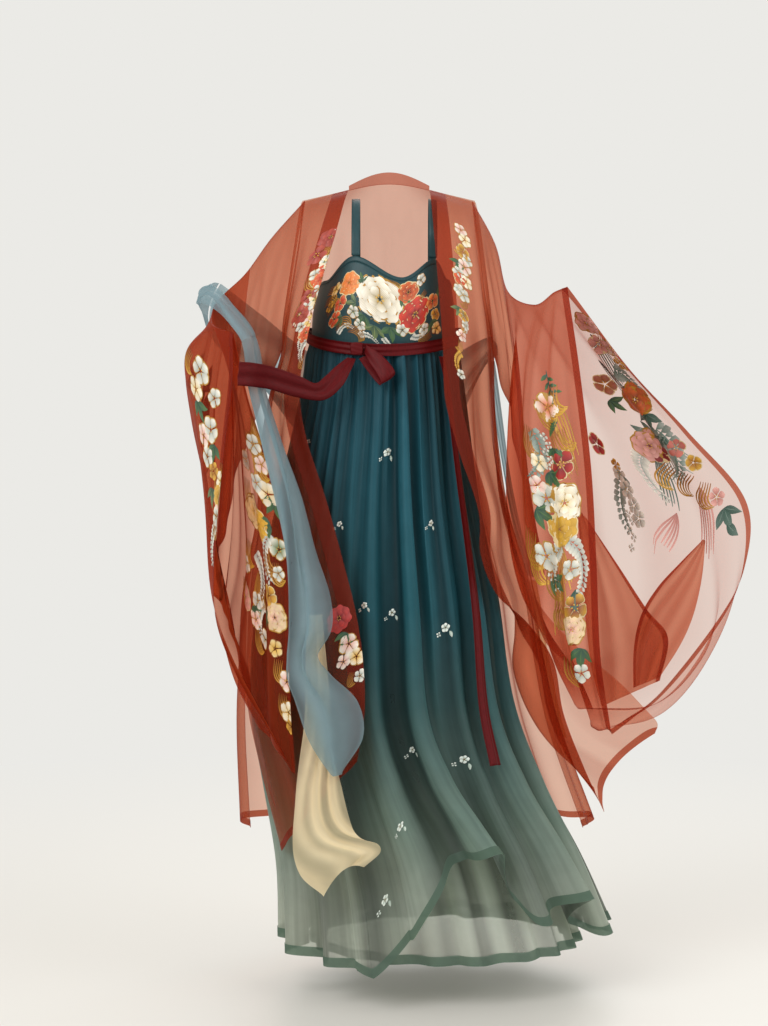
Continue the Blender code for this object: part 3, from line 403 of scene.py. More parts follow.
class Canvas:
    """A face of a cloth that something is laid on. s runs across it from its first column and t
    down that column, both in metres, and h is the height above it. An even one measures t down
    every column by itself, so that what is laid on it isn't stretched."""

    def __init__(self, points, normals, reach, fine=160, even=False):
        step = np.linalg.norm(np.diff(points, axis=1), axis=2).cumsum(1)
        across = np.pad(step, ((0, 0), (1, 0)))
        down = np.linalg.norm(np.diff(points[:, 0], axis=0), axis=1).cumsum()
        self.down, self.reach, self.fine = np.pad(down, (1, 0)), reach, fine
        places = np.linspace(0, reach, fine)
        both = np.concatenate([points, normals], axis=2)
        self.grid = np.array(
            [[np.interp(places, a, row[:, c]) for c in range(6)] for a, row in zip(across, both)]
        ).transpose(0, 2, 1)
        if even:
            run = np.linalg.norm(np.diff(self.grid[..., :3], axis=0), axis=2).cumsum(0)
            run = np.pad(run, ((1, 0), (0, 0)))
            self.down = np.linspace(0, run[-1].max(), len(run))
            columns = [
                [np.interp(self.down, run[:, i], self.grid[:, i, c]) for c in range(6)]
                for i in range(fine)
            ]
            self.grid = np.array(columns).transpose(2, 0, 1)

    def at(self, s, t, h):
        j = np.interp(t, self.down, np.arange(len(self.down)))
        i = np.clip(s / self.reach, 0, 1) * (self.fine - 1)
        j0 = np.minimum(j.astype(int), len(self.down) - 2)
        i0 = np.minimum(i.astype(int), self.fine - 2)
        fj, fi = (j - j0)[..., None], (i - i0)[..., None]
        g = self.grid
        found = (g[j0, i0] * (1 - fi) + g[j0, i0 + 1] * fi) * (1 - fj)
        found = found + (g[j0 + 1, i0] * (1 - fi) + g[j0 + 1, i0 + 1] * fi) * fj
        return found[..., :3] + found[..., 3:] * np.asarray(h)[..., None]

    def spot(self, x, z):
        """The (s, t) of the place that is seen at x and z from the front."""
        near = STAND_Y / (STAND_Y - self.grid[..., 1])
        seen_x = STAND_X + (self.grid[..., 0] - STAND_X) * near
        seen_z = STAND_Z + (self.grid[..., 2] - STAND_Z) * near
        off = (seen_x - x) ** 2 + (seen_z - z) ** 2
        j, i = np.unravel_index(off.argmin(), off.shape)
        return i / (self.fine - 1) * self.reach, self.down[j]

    def strip(self, s0, s1, t0=0.0, t1=1.0, h=0.0006):
        """A surface that lies on it between two distances across and two shares down."""
        whole = self.down[-1]
        return lambda u, v: self.at(
            s0 + (s1 - s0) * u, (t0 + (t1 - t0) * v) * whole, np.full(u.shape, h)
        )


def from_last_row(cloth):
    """A cloth's points and normals with s measured up it from its last row, and t along that."""
    return cloth.points[::-1].transpose(1, 0, 2), cloth.normals[::-1].transpose(1, 0, 2)


def hem_strip(cloth, wide, h=0.0006):
    return Canvas(*from_last_row(cloth), reach=0.03, fine=12).strip(0.0, wide, h=h)


def cloth_piece(name, cloth, finish, wall=0.0):
    """A cloth that takes the place of the plain one of its name."""
    piece = woven(f"{name}_cloth", cloth, finish, wall)
    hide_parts(name)
    return piece


SKIRT_HEM_WIDE = 0.016
skirt_cloths = {}
for layer, surface, finish, slot, seed, deep, lines, halves in (
    ("outer", skirt_layer(0.0, 1.0, OUTER_LIFTS), skirt_gauze, "skirt_gauze", 11, 1.0, 190,
     (("front", 0.0, 420, (0.75, 1.02)), ("back", 0.5, 280, (0.74, 1.02)))),
    ("inner", skirt_layer(0.010, 0.35, INNER_LIFTS), skirt_lining, "skirt_under_layer", 31, 0.5, 110,
     (("front", 0.0, 200, (0.62, 1.02)), ("back", 0.5, 140, (0.60, 1.02)))),
):
    for half, u0, columns, flat in halves:
        folds = gathers(seed, u0, u0 + 0.5, deep)
        cloth = Cloth(part(surface, u0, u0 + 0.5), columns, lines, out=-1, folds=folds)
        skirt_cloths[layer, half] = cloth
        piece = cloth_piece(f"skirt_{layer}_{half}", cloth, finish)
        turning = Cloth(hem_strip(cloth, SKIRT_HEM_WIDE, h=0.0012), 4, columns, out=-1)
        hem = cloth_piece(f"skirt_{layer}_hem_{half}", turning, hem_gauze)

# --- Bodice ---------------------------------------------------------------------------------
# A satin bodice shaped to the bust, bound along its dipped upper edge and hung on two straps.
# Its front is covered with satin stitch: peonies, blossom, leaves and couched gold cord.

BODICE_EDGE = rows_of(
    (0.000, 0.158), (0.080, 0.148), (0.175, 0.108), (0.290, 0.144), (0.380, 0.112),
    (0.440, 0.145), (0.500, 0.156), (0.660, 0.158), (0.840, 0.158), (1.000, 0.158),
)


def bodice_surface(u, v):
    turn, edge, rings = np.pi * (1 + 2 * u), between(BODICE_EDGE, np.mod(u, 1.0)), []
    bust = (edge + 0.252 + 2 * 0.190) / 4
    # centre x, half width, half depth in front and behind, drop
    for x, wide, front, back, drop in (
        (-0.017, 0.112, 0.094, 0.080, edge),
        (-0.019, 0.119, 0.112, 0.093, bust),
        (-0.020, 0.122, 0.106, 0.100, 0.2560),
    ):
        deep = np.where(np.sin(turn) < 0, front, back)
        rings.append(ring_of(x + wide * np.cos(turn), deep * np.sin(turn), -drop))
    return through(np.array(rings), v)


def crossings(rows):
    """A surface through rows of middle point and half width: x y z, half x, half y, half z."""
    return lambda u, v: through(
        rows[:, None, :3] + rows[:, None, 3:] * (2 * u - 1)[None, :, None], v
    )


def satin_finish(name, colour, sheen, gloss=0.4):
    """Satin. Its floats are 0.2 mm wide and 2 mm long in life, and are drawn ten times as coarse."""
    made, tree = material(name)
    place = add(tree, "ShaderNodeTexCoord").outputs["UV"]
    cross = add(tree, "ShaderNodeMapping", {"Vector": place, "Scale": (1.0, 0.25, 1.0)}).outputs[0]
    float_threads = add(
        tree, "ShaderNodeTexNoise", {"Vector": cross, "Scale": 420.0, "Detail": 2.0}
    ).outputs["Fac"]
    dull = (*(c * 0.72 for c in linear(colour)[:3]), 1.0)
    tone = add(tree, "ShaderNodeValToRGB", {"Fac": float_threads}, ((0.3, dull), (0.7, colour)))
    relief = add(
        tree, "ShaderNodeBump", {"Height": float_threads, "Strength": 0.25, "Distance": 0.0004}
    ).outputs[0]
    look = add(
        tree, "ShaderNodeBsdfPrincipled",
        {
            "Base Color": tone.outputs[0], "Roughness": 0.5, "Sheen Weight": sheen,
            "Sheen Roughness": 0.4, "Specular IOR Level": gloss, "Normal": relief,
        },
    )
    add(tree, "ShaderNodeOutputMaterial", {"Surface": look.outputs[0]})
    return made


def sheet_piece(name, cloth, finish, wall=0.0):
    """A cloth that takes the place of the plain one of its name, as cloth_piece makes it."""
    piece = cloth_piece(name, cloth, finish, wall)


# Silk satin, whose long floats of thread give it a low, even shine.
bodice_satin = satin_finish("bodice_satin", "#123b40", sheen=0.15)
bodice_front = Cloth(part(bodice_surface, 0.001, 0.499, 0.05, 1.0), 120, 30, out=-1)
bodice_back = Cloth(part(bodice_surface, 0.501, 0.999), 80, 24, out=-1)
binding_line = Cloth(part(bodice_surface, 0.001, 0.499, 0.0, 0.06), 120, 3, out=-1)
binding = cloth_piece("bodice_binding", binding_line, bodice_satin, 0.0022)
for side, place in (("right", 0.178), ("left", 0.377)):
    front, back = bodice_surface(np.array([place, 1 - place]), np.zeros(2))
    x, half = (front[0] + back[0]) / 2, (0.007, 0.0, 0.0)
    line = rows_of(
        (front[0], front[1], front[2] + 0.001, *half), (x, -0.074, -0.066, *half),
        (x, -0.036, -0.020, *half), (x, 0.000, -0.010, *half), (x, 0.030, -0.030, *half),
        (x, 0.046, -0.090, *half), (back[0], back[1] - 0.002, back[2] + 0.001, *half),
    )
    sheet_piece(
        f"strap_{side}", Cloth(crossings(line), 4, 60), bodice_satin,
        0.0009,
    )
sheet_piece(
    "bodice_front", bodice_front, bodice_satin,
    0.0010,
)
sheet_piece(
    "bodice_back", bodice_back, bodice_satin,
    0.0010,
)


# --- Bodice embroidery ----------------------------------------------------------------------
# Satin stitch in stranded silk, with gilt cord couched round it. Peonies, blossom, leaves, plumes
# and waves of cord are worked through the satin, close together over the whole front.


class Silk:
    """Embroidery on one face of a cloth. Each petal, leaf or cord is a small domed shape of
    laid stitches that starts at s and t and runs along a heading."""

    def __init__(self, canvas, side=1.0):
        self.canvas, self.side, self.bm, self.grids = canvas, side, bmesh.new(), {}
        self.points, self.tints, self.stitches, self.kinds = [], [], [], []
        self.dice = np.random.default_rng(5)

    def lay(self, s, t, heading, long, wide, near, far, bend=0.0, curl=0.0, fat=1.0, blunt=1.0,
            rise=0.0008, base=0.0006, columns=2, lines=5, gold=False):
        made = bmesh.ops.create_grid(self.bm, x_segments=columns, y_segments=lines, size=0.5)
        if (columns, lines) not in self.grids:
            self.grids[columns, lines] = np.array([v.co[:2] for v in made["verts"]])
        a, b = self.grids[columns, lines][:, 0] * 2, self.grids[columns, lines][:, 1] + 0.5
        k = np.linspace(0, 1, 33)
        turn = heading + bend * k + curl * k * k
        run_s = np.concatenate([[0], np.cumsum(np.cos(turn)[1:] + np.cos(turn)[:-1]) / 64]) * long
        run_t = np.concatenate([[0], np.cumsum(np.sin(turn)[1:] + np.sin(turn)[:-1]) / 64]) * long
        at = np.interp(b, k, turn)
        half = 0.5 * wide * np.sin(np.pi * np.clip(b, 0.02, 0.985) ** fat) ** blunt
        place_s = s + np.interp(b, k, run_s) - np.sin(at) * half * a
        place_t = t + np.interp(b, k, run_t) + np.cos(at) * half * a
        height = base + rise * (1 - a * a) * np.sin(np.pi * np.clip(b, 0.03, 0.97)) ** 0.6
        self.points.append(self.canvas.at(place_s, place_t, self.side * height))
        lit = 1 + 0.10 * self.dice.uniform(-1, 1)
        near, far = np.array(linear(near)[:3]), np.array(linear(far)[:3])
        # The thread runs from the near colour to the far one along the stroke. Painted shade darkens
        # each stroke towards its sides and lightens its middle.
        tint = (near + (far - near) * (b**1.3)[:, None]) * lit * (1.06 - 0.16 * (a * a)[:, None])
        self.tints.append(np.concatenate([tint, np.ones((len(b), 1))], axis=1))
        self.stitches.append(np.stack([a * half, b * long], axis=1))
        self.kinds.append(np.full(columns * lines, int(gold)))

    def finish(self, name, slot):
        mesh = mesh_of(name, self.bm)
        mesh.vertices.foreach_set("co", np.concatenate(self.points).ravel())
        tint = mesh.color_attributes.new("thread", "FLOAT_COLOR", "POINT")
        tint.data.foreach_set("color", np.concatenate(self.tints).ravel())
        corner = np.empty(len(mesh.loops), int)
        mesh.loops.foreach_get("vertex_index", corner)
        metres = np.concatenate(self.stitches)[corner]
        mesh.uv_layers.new(name="stitch").data.foreach_set("uv", metres.ravel())
        mesh.materials.append(silk_thread)
        mesh.materials.append(gold_cord)
        mesh.polygons.foreach_set("material_index", np.concatenate(self.kinds))
        mesh.shade_smooth()
        piece = placed(name, mesh)
        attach(piece, "root")


def thread_finish(name, roughness, metallic):
    """Stranded silk, or gold cord: close lines of stitches that catch the light along them."""
    made, tree = material(name)
    tint = add(tree, "ShaderNodeAttribute", attribute_name="thread").outputs["Color"]
    place = add(tree, "ShaderNodeTexCoord").outputs["UV"]
    # Stitches lie 0.3 mm apart in life. They are drawn 2 mm apart, so that they show.
    lines = add(
        tree, "ShaderNodeTexWave", {"Vector": place, "Scale": 160.0, "Distortion": 1.5},
        bands_direction="X",
    ).outputs["Fac"]
    light = add(
        tree, "ShaderNodeValToRGB", {"Fac": lines}, ((0.0, 0.74), (1.0, 1.0))
    ).outputs["Color"]
    shade = add(tree, "ShaderNodeMix", {0: 1.0, 6: tint, 7: light}, **SHADED).outputs[2]
    relief = add(
        tree, "ShaderNodeBump", {"Height": lines, "Strength": 0.3, "Distance": 0.0003}
    ).outputs[0]
    look = add(
        tree, "ShaderNodeBsdfPrincipled",
        {"Base Color": shade, "Roughness": roughness, "Metallic": metallic, "Normal": relief},
    )
    add(tree, "ShaderNodeOutputMaterial", {"Surface": look.outputs[0]})
    return made


# Stranded silk is laid flat and glossy. Gilt cord is thread wrapped in foil, so it is part metal.
silk_thread = thread_finish("silk_thread", roughness=0.48, metallic=0.0)
gold_cord = thread_finish("gold_cord", roughness=0.42, metallic=0.25)

WHITE, CREAM, YELLOW, GOLD, OCHRE = "#ebe4d4", "#e2cb98", "#d9a93a", "#b88628", "#935514"
ORANGE, RED, WINE, PINK, DUSKY = "#d4652c", "#b82a20", "#74151c", "#e0a79c", "#a8685c"
LEAF, MOSS, PINE, GREY, STEEL = "#52733f", "#7c8a52", "#1f4436", "#a7ada4", "#5f7468"


def petals(silk, s, t, size, turn, count, near, far, share=0.5, width=0.8, base=0.0006, rim=None):
    for k in range(count):
        way = turn + 2 * math.pi * k / count + silk.dice.uniform(-0.12, 0.12)
        long = size * share * silk.dice.uniform(0.9, 1.06)
        from_s, from_t = s + math.cos(way) * long * 0.12, t + math.sin(way) * long * 0.12
        wide = long * width
        if rim:
            silk.lay(from_s, from_t, way, long * 1.08, wide * 1.26, rim, rim, fat=1.75, blunt=0.6,
                     rise=0.0003, base=base)
        silk.lay(from_s, from_t, way, long, wide, near, far, fat=1.75, blunt=0.6, base=base + 0.0003,
                 columns=4)


def seeds(silk, s, t, size, colour, count=6, base=0.0022):
    for k in range(count):
        way = 2 * math.pi * k / count
        far = size * 0.35
        silk.lay(s + math.cos(way) * far, t + math.sin(way) * far, way, size * 0.4, size * 0.3,
                 colour, colour, base=base, lines=2)


def peony(silk, s, t, size, turn, deep, pale, rim=None):
    petals(silk, s, t, size, turn, 8, deep, pale, 0.50, 0.86, 0.0006, rim)
    petals(silk, s, t, size, turn + 0.4, 7, deep, pale, 0.38, 0.92, 0.0013, rim)
    petals(silk, s, t, size, turn + 0.1, 5, deep, pale, 0.25, 1.0, 0.0020, rim)
    seeds(silk, s, t, size * 0.14, YELLOW, 6, 0.0030)


def blossom(silk, s, t, size, turn, heart, petal, rim=None):
    petals(silk, s, t, size, turn, 5, heart, petal, 0.5, 0.95, 0.0007, rim)
    seeds(silk, s, t, size * 0.22, YELLOW if heart != YELLOW else OCHRE, 5, 0.0016)


def leaf(silk, s, t, size, turn, deep, pale):
    silk.lay(s, t, turn, size, size * 0.42, deep, pale, bend=0.5, fat=0.8, columns=4, lines=6)
    silk.lay(s, t, turn, size * 0.9, size * 0.05, pale, pale, bend=0.5, rise=0.0002, base=0.0015)


def leaves(silk, s, t, size, turn, deep, pale):
    for way in (-0.9, 0.0, 0.9):
        leaf(silk, s, t, size * (1 - 0.12 * abs(way)), turn + way, deep, pale)


def sprig(silk, s, t, size, turn, deep, pale):
    silk.lay(s, t, turn, size, size * 0.05, deep, deep, bend=0.6, blunt=0.3, lines=8)
    for k in range(7):
        b = (k + 1) / 8
        way = turn + 0.6 * b
        at_s, at_t = s + math.cos(turn + 0.3 * b) * size * b, t + math.sin(turn + 0.3 * b) * size * b
        silk.lay(at_s, at_t, way + (0.9 if k % 2 else -0.9), size * 0.32, size * 0.13, deep, pale,
                 fat=0.9, lines=4)


def scroll(silk, s, t, size, turn, deep, pale):
    """Waves of gold cord that run side by side and curl over at the end."""
    for k in range(5):
        off = (k - 2) * size * 0.085
        at_s, at_t = s - math.sin(turn) * off, t + math.cos(turn) * off
        silk.lay(at_s, at_t, turn, size * (1.35 - 0.13 * k), size * 0.05, deep, pale,
                 bend=-1.4, curl=4.6 - 0.3 * k, blunt=0.35, rise=0.0006, base=0.0008, lines=18,
                 gold=True)


def plume(silk, s, t, size, turn, deep, pale):
    """A hanging chain of small petals, as on wisteria."""
    bend = 1.7 * silk.dice.choice((-1, 1))
    heading = turn - bend / 2
    silk.lay(s, t, heading, size, size * 0.03, deep, deep, bend=bend, blunt=0.3, lines=10)
    for k in range(12):
        long = size * (0.17 - 0.09 * k / 12) * silk.dice.uniform(0.85, 1.15)
        for way in (-1.1, 1.1):
            silk.lay(s, t, heading + way, long, long * 0.75, deep, pale, fat=1.5, blunt=0.7, lines=3)
        s, t = s + math.cos(heading) * size / 12, t + math.sin(heading) * size / 12
        heading += bend / 12


def strands(silk, s, t, size, turn, deep, pale):
    """Long loose threads that fan out and trail."""
    for k in range(6):
        spread = (k - 2.5) * 0.16
        silk.lay(s, t, turn + spread, size * silk.dice.uniform(0.7, 1.05), size * 0.022, deep, pale,
                 bend=-2.2 * spread, curl=1.2 * spread, blunt=0.3, rise=0.0004, lines=14)


def dots(silk, s, t, size, turn, deep, pale):
    for k in range(5):
        b = k / 4
        at_s, at_t = s + math.cos(turn) * size * b, t + math.sin(turn) * size * b
        off = (-1) ** k * size * 0.08
        petals(silk, at_s + off, at_t, size * 0.26, k, 4, deep, pale, 0.5, 0.9)


def embroider(silk, motifs):
    """Works each motif: its kind and colours, the x and z where it is seen from the front and its
    size in millimetres, and the way it heads."""
    for (kind, *colours), x, z, size, turn in motifs:
        kind(silk, *silk.canvas.spot(x / 1000, z / 1000), size / 1000, turn, *colours)


# A motif and its colours: heart, petal and rim, or stem and leaf, or the two ends of a cord.
PLUM, BARE_PLUM = (blossom, GREY, WHITE, GOLD), (blossom, GREY, WHITE)
CREAM_PLUM, PINK_PLUM = (blossom, CREAM, WHITE, GOLD), (blossom, PINK, WHITE, GOLD)
PINK_BUD, YELLOW_BUD = (blossom, PINK, WHITE), (blossom, OCHRE, YELLOW)
YELLOW_PLUM, STRAW_PLUM = (blossom, OCHRE, YELLOW, CREAM), (blossom, YELLOW, CREAM, OCHRE)
RED_PLUM, WINE_PLUM = (blossom, RED, ORANGE, CREAM), (blossom, WINE, RED, CREAM)
GOLD_PEONY, PINK_PEONY = (peony, GOLD, YELLOW, CREAM), (peony, PINK, CREAM, GOLD)
LEAVES, MOSSY, BLUISH = (leaves, PINE, LEAF), (leaves, PINE, MOSS), (leaves, PINE, STEEL)
PLUME, GREY_PLUME = (plume, GREY, WHITE), (plume, STEEL, GREY)
STRANDS, GREY_STRANDS = (strands, OCHRE, YELLOW), (strands, STEEL, GREY)
CORD, DARK_CORD = (scroll, OCHRE, YELLOW), (scroll, OCHRE, GOLD)

bodice_silk = Silk(Canvas(bodice_front.points, bodice_front.normals, 0.37, even=True))
embroider(
    bodice_silk,
    [
        (DARK_CORD, -115, -205, 34, -0.4), (CORD, -112, -165, 32, 0.5), (DARK_CORD, -100, -225, 36, 0),
        (CORD, -90, -150, 26, 0.2), (DARK_CORD, 62, -235, 30, 3), (CORD, -12, -150, 26, 0.1),
        (CORD, 52, -165, 26, 2.6), (LEAVES, -52, -205, 26, 1.9), (MOSSY, -35, -222, 26, 1.4),
        (LEAVES, -10, -225, 26, 1.2), (LEAVES, 8, -175, 22, 0.2), (MOSSY, -65, -185, 22, 3),
        (LEAVES, 60, -215, 20, 0.9), ((peony, ORANGE, "#e58a3c", CREAM), -77, -152, 34, 0.3),
        (RED_PLUM, -92, -185, 22, 0.1), ((peony, WINE, "#cf3b26", CREAM), 34, -205, 52, 0.2),
        ((peony, WINE, ORANGE, CREAM), 22, -165, 34, 0.9),
        ((blossom, RED, "#e39a4a", CREAM), 62, -180, 24, 0.7),
        ((peony, "#a8946a", "#f2ebdb", GOLD), -24, -178, 74, 0), (YELLOW_PLUM, 68, -205, 18, 0),
        (PLUM, -60, -222, 18, 0.5), (PLUM, 12, -228, 20, 0.2), (YELLOW_BUD, -110, -190, 16, 0.5),
        (CORD, -118, -185, 34, 0.2), (DARK_CORD, -78, -228, 34, 0.3), (RED_PLUM, -104, -212, 22, 0.9),
        (PLUM, -72, -200, 20, 0.4), (STRAW_PLUM, -98, -162, 18, 0.2), (LEAVES, -88, -208, 20, 2.6),
        (PLUM, 50, -228, 18, 0.8), (STRAW_PLUM, 70, -228, 20, 0.1), (PLUM, 44, -146, 18, 0.5),
        (PINK_BUD, 34, -205, 20, 0.3), (LEAVES, 72, -160, 18, 0.4), (LEAVES, -52, -150, 18, 4),
        (PLUME, -98, -236, 34, 0.1), (PLUME, -60, -240, 36, 0.1), (PLUME, -20, -244, 36, 0),
        (PLUME, 28, -240, 34, 0),
    ],
)
bodice_silk.finish("bodice_embroidery", "bodice_satin")

# --- Skirt embroidery -----------------------------------------------------------------------
# White sprigs of blossom in stranded silk, each with a leaf and a bud. They are worked on the
# outer gauze and scattered down its front.

skirt_front = skirt_cloths["outer", "front"]
skirt_silk = Silk(Canvas(skirt_front.points, skirt_front.normals, 0.75, 400))
for x, z, size in (
    (-0.136, -0.411, 0.012), (-0.012, -0.434, 0.013), (-0.052, -0.700, 0.010),
    (-0.005, -0.714, 0.011), (0.085, -0.740, 0.014), (0.031, -0.945, 0.014),
    (0.119, -0.965, 0.016), (-0.017, -1.207, 0.014), (-0.095, -0.560, 0.009),
    (0.060, -0.560, 0.010), (-0.075, -0.850, 0.010), (0.010, -1.080, 0.012),
):
    at = skirt_silk.canvas.spot(x, z)
    blossom(skirt_silk, *at, size, x * 40, "#b9c6bd", "#e6ece4")
    leaf(skirt_silk, at[0] + size * 0.6, at[1] + size * 0.4, size * 0.9, 0.8, "#9fb3a6", "#d3ddd3")
    petals(skirt_silk, at[0] - size * 0.8, at[1] + size * 0.9, size * 0.6, 0.3, 4, "#b9c6bd", "#dfe7df")
skirt_silk.finish("skirt_embroidery", "skirt_gauze")

# --- Belt, bow and ribbons ------------------------------------------------------------------
# A satin ribbon is tied over the seam under the bust. One tail is carried over the right arm
# and the other hangs down the skirt.

BELT_WIDE, BELT_DEEP, BELT_TALL = 0.1312, 0.1186, 0.020  # half width, half depth, height


def belt_surface(u, v):
    """It lies 28 mm lower in front than behind."""
    turn = np.pi * (1 + 2 * u)
    front = np.maximum(0.0, -np.sin(turn))
    z = -(0.236 + 0.028 * front) + BELT_TALL * (0.5 - v)
    return np.stack([-0.020 + BELT_WIDE * np.cos(turn), BELT_DEEP * np.sin(turn), z], axis=1)


def belt_creases(u, v):
    wave = np.sin(2 * np.pi * (2.3 * v + 0.25 * np.sin(2 * np.pi * u) + 0.15 * np.sin(6 * np.pi * u)))
    return 0.0009 * wave


# Heavy satin ribbon, piece-dyed wine red, with a duller face than the bodice.
ribbon_satin = satin_finish("ribbon_satin", "#570a0e", sheen=0.0, gloss=0.12)
sheet_piece(
    "belt", Cloth(belt_surface, 200, 12, out=-1, folds=belt_creases, closed=True), ribbon_satin,
)

# The knot is a rounded block with the ribbon's wraps across it.
KNOT_HALF, KNOT_PLACE = (0.0110, 0.0058, 0.0120), (-0.064, -0.1250, -0.262)
bm = bmesh.new()
bmesh.ops.create_cube(bm, size=1.0)
bmesh.ops.subdivide_edges(bm, edges=bm.edges[:], cuts=9, use_grid_fill=True)
for point in bm.verts:
    x, y, z = point.co * 2
    round_off = math.sqrt(max(1 - 0.42 * (y * y + z * z) / 2 - 0.1 * x * x, 0.1))
    wrap = 1 + 0.10 * math.sin(9 * z + 2.5 * x)
    half_x, half_y, half_z = (half * round_off for half in KNOT_HALF)
    point.co = (half_x * x, half_y * wrap * y, half_z * z)
bmesh.ops.translate(bm, vec=KNOT_PLACE, verts=bm.verts)
mesh = mesh_of("bow_knot_cloth", bm)
mesh.materials.append(ribbon_satin)
mesh.uv_layers.new(name="cloth")
mesh.shade_smooth()
knot = placed("bow_knot_cloth", mesh)
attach(knot, "root")
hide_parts("bow_knot")

# middle x, y and z, then half the width as x, y and z
BOW_LOOP = mm(
    (-50, -122.5, -262, 2, 0, 6), (-38, -133, -274, 6, 1, 9), (-22, -144, -292, 9, 2, 10),
    (-12, -148, -308, 11, 3, 9), (-15, -138, -314, 11, 3, 8), (-28, -130, -300, 10, 2, 9),
    (-44, -125.5, -284, 7, 1, 8), (-56, -125, -276.5, 4, 0, 2),
)
HELD_TAIL = mm(
    (-72, -124, -277.5, -7, 0, 1), (-86, -142, -295, -12, 0, 4), (-102, -158, -316, -14, -2, 8),
    (-124, -176, -332, -7, -4, 14), (-158, -195, -324, 3, -4, 17), (-200, -218, -310, 4, -4, 18),
    (-230, -250, -304, 3, -3, 19), (-252, -262, -302, 2, -3, 19),
)


def creases(deep, count, seed, slant=0.0):
    """Soft lengthwise folds in a narrow cloth."""
    line = wander(seed, 1, count)
    return lambda u, v: deep * line(u * 0.5 + slant * v) * np.clip(v / 0.06, 0, 1)


sheet_piece(
    "bow_loop", Cloth(crossings(BOW_LOOP), 12, 90, folds=creases(0.0008, 4, 3)), ribbon_satin,
    0.0006,
)
sheet_piece(
    "ribbon_tail_held", Cloth(crossings(HELD_TAIL), 14, 110, folds=creases(0.0012, 4, 7, 0.12)),
    ribbon_satin, 0.0006,
)


def lying(under, rows, clear):
    """A strip against an upright cloth. Rows hold its place round, its share down and half width."""
    touch = under(rows[:, 0], rows[:, 1])
    out = touch * (1, 1, 0)
    out = out / np.linalg.norm(out, axis=1, keepdims=True)
    side = np.stack([-out[:, 1], out[:, 0], 0 * out[:, 0]], axis=1)
    return crossings(np.concatenate([touch + out * clear, side * rows[:, 2:3]], axis=1))


HANGING_TAIL = rows_of(
    (0.374, 0.035, 0.006), (0.383, 0.120, 0.007), (0.390, 0.240, 0.008), (0.390, 0.340, 0.009),
    (0.384, 0.440, 0.010), (0.377, 0.560, 0.011), (0.366, 0.665, 0.012),
)
tail = lying(skirt_layer(0.0, 0.0, OUTER_LIFTS), HANGING_TAIL, 0.010)
sheet_piece(
    "ribbon_tail_hanging", Cloth(tail, 10, 130, folds=creases(0.0015, 3, 9, 0.1)), ribbon_satin,
    0.0006,
)

# --- Robe -----------------------------------------------------------------------------------
# An open robe of rust-red silk chiffon, so sheer that each layer only tints what is behind it.
# Its fronts are edged with a doubled collar band and worked with flowers beside it.

# free edge x, y, z; how far the middle stands off, x, y; side edge x, y, z
RIGHT_FRONT = mm(
    (-78, -1, 6, 0, -2, -155, -2, -14), (-84, -42, -12, 0, -8, -159, -26, -36),
    (-99, -89, -70, 0, -14, -165, -52, -80), (-127, -114, -166, -4, -18, -180, -60, -170),
    (-140, -120, -220, -6, -22, -189, -36, -225), (-150, -124, -270, -8, -28, -192, -4, -272),
    (-158, -132, -335, -12, -34, -212, -4, -350), (-146, -150, -410, -16, -38, -224, -4, -440),
    (-113, -182, -510, -28, -46, -226, -6, -540), (-85, -212, -608, -36, -50, -242, -10, -640),
    (-64, -236, -690, -40, -50, -250, -24, -740), (-52, -254, -770, -36, -44, -248, -74, -850),
    (-50, -268, -850, -24, -34, -222, -112, -960), (-62, -280, -925, -10, -22, -184, -170, -1085),
)
LEFT_FRONT = mm(
    (58, -1, 6, 0, -2, 133, -2, -14), (60, -42, -12, 0, -8, 137, -26, -36),
    (64, -88, -67, 4, -14, 143, -52, -80), (72, -110, -166, 8, -18, 155, -60, -170),
    (76, -120, -220, 10, -22, 162, -36, -225), (79, -128, -275, 12, -22, 166, -4, -272),
    (82, -138, -346, 14, -24, 166, -4, -350), (104, -152, -430, 14, -22, 170, -4, -440),
    (136, -166, -527, 18, -10, 182, -4, -530), (140, -168, -600, 10, -8, 210, -4, -620),
    (168, -142, -668, 2, -4, 246, -2, -700), (222, -70, -722, -50, 10, 300, 10, -770),
    (268, -36, -790, -105, 12, 360, 16, -830), (286, -30, -880, -108, 12, 405, 14, -880),
    (318, -30, -965, -90, 10, 428, 10, -905), (356, -30, -1050, -30, 4, 436, 4, -925),
)
# drop, centre x, centre y, half width, half depth, depth of the flutes
ROBE_BACK = mm(
    (36, -11, 26, 148, 48, 0), (80, -11, 52, 154, 46, 0), (170, -13, 60, 167, 60, 2),
    (225, -14, 36, 175, 92, 3), (272, -14, 4, 179, 128, 4), (350, -24, 6, 189, 140, 9),
    (450, -28, 8, 199, 164, 14), (550, -22, 14, 207, 188, 18), (680, -15, 26, 236, 206, 22),
    (800, -8, 40, 248, 222, 26), (920, 4, 50, 262, 240, 30), (1090, 38, 56, 288, 262, 34),
)


def bellied(rows):
    """A surface between two edges whose middle stands off: a x y z, belly x y z, b x y z."""

    def surface(u, v):
        a, belly, b = rows[:, None, 0:3], rows[:, None, 3:6], rows[:, None, 6:9]
        w = u[None, :, None]
        return through(a + (b - a) * w + belly * 4 * w * (1 - w), v)

    return surface


def panel_surface(rows):
    return bellied(np.insert(rows, 5, 0.0, axis=1))


# Shares round the back where its shoulder seams meet the neck.
NECK_RIGHT, NECK_LEFT = 0.2705, 0.7350


def back_top_edge(u):
    """Right shoulder seam, round the back of the neck, and left shoulder seam."""
    t = np.clip((u - NECK_RIGHT) / (NECK_LEFT - NECK_RIGHT), 0, 1)
    ends = rows_of((-0.157, 0, -0.012), (-0.078, 0, 0.006), (0.058, 0, 0.006), (0.135, 0, -0.012))
    line = [np.interp(u, (0, NECK_RIGHT, NECK_LEFT, 1), ends[:, c]) for c in range(3)]
    rise = np.sin(np.pi * t)
    return np.stack([line[0], line[1] + 0.056 * rise, line[2] + 0.014 * rise], axis=1)


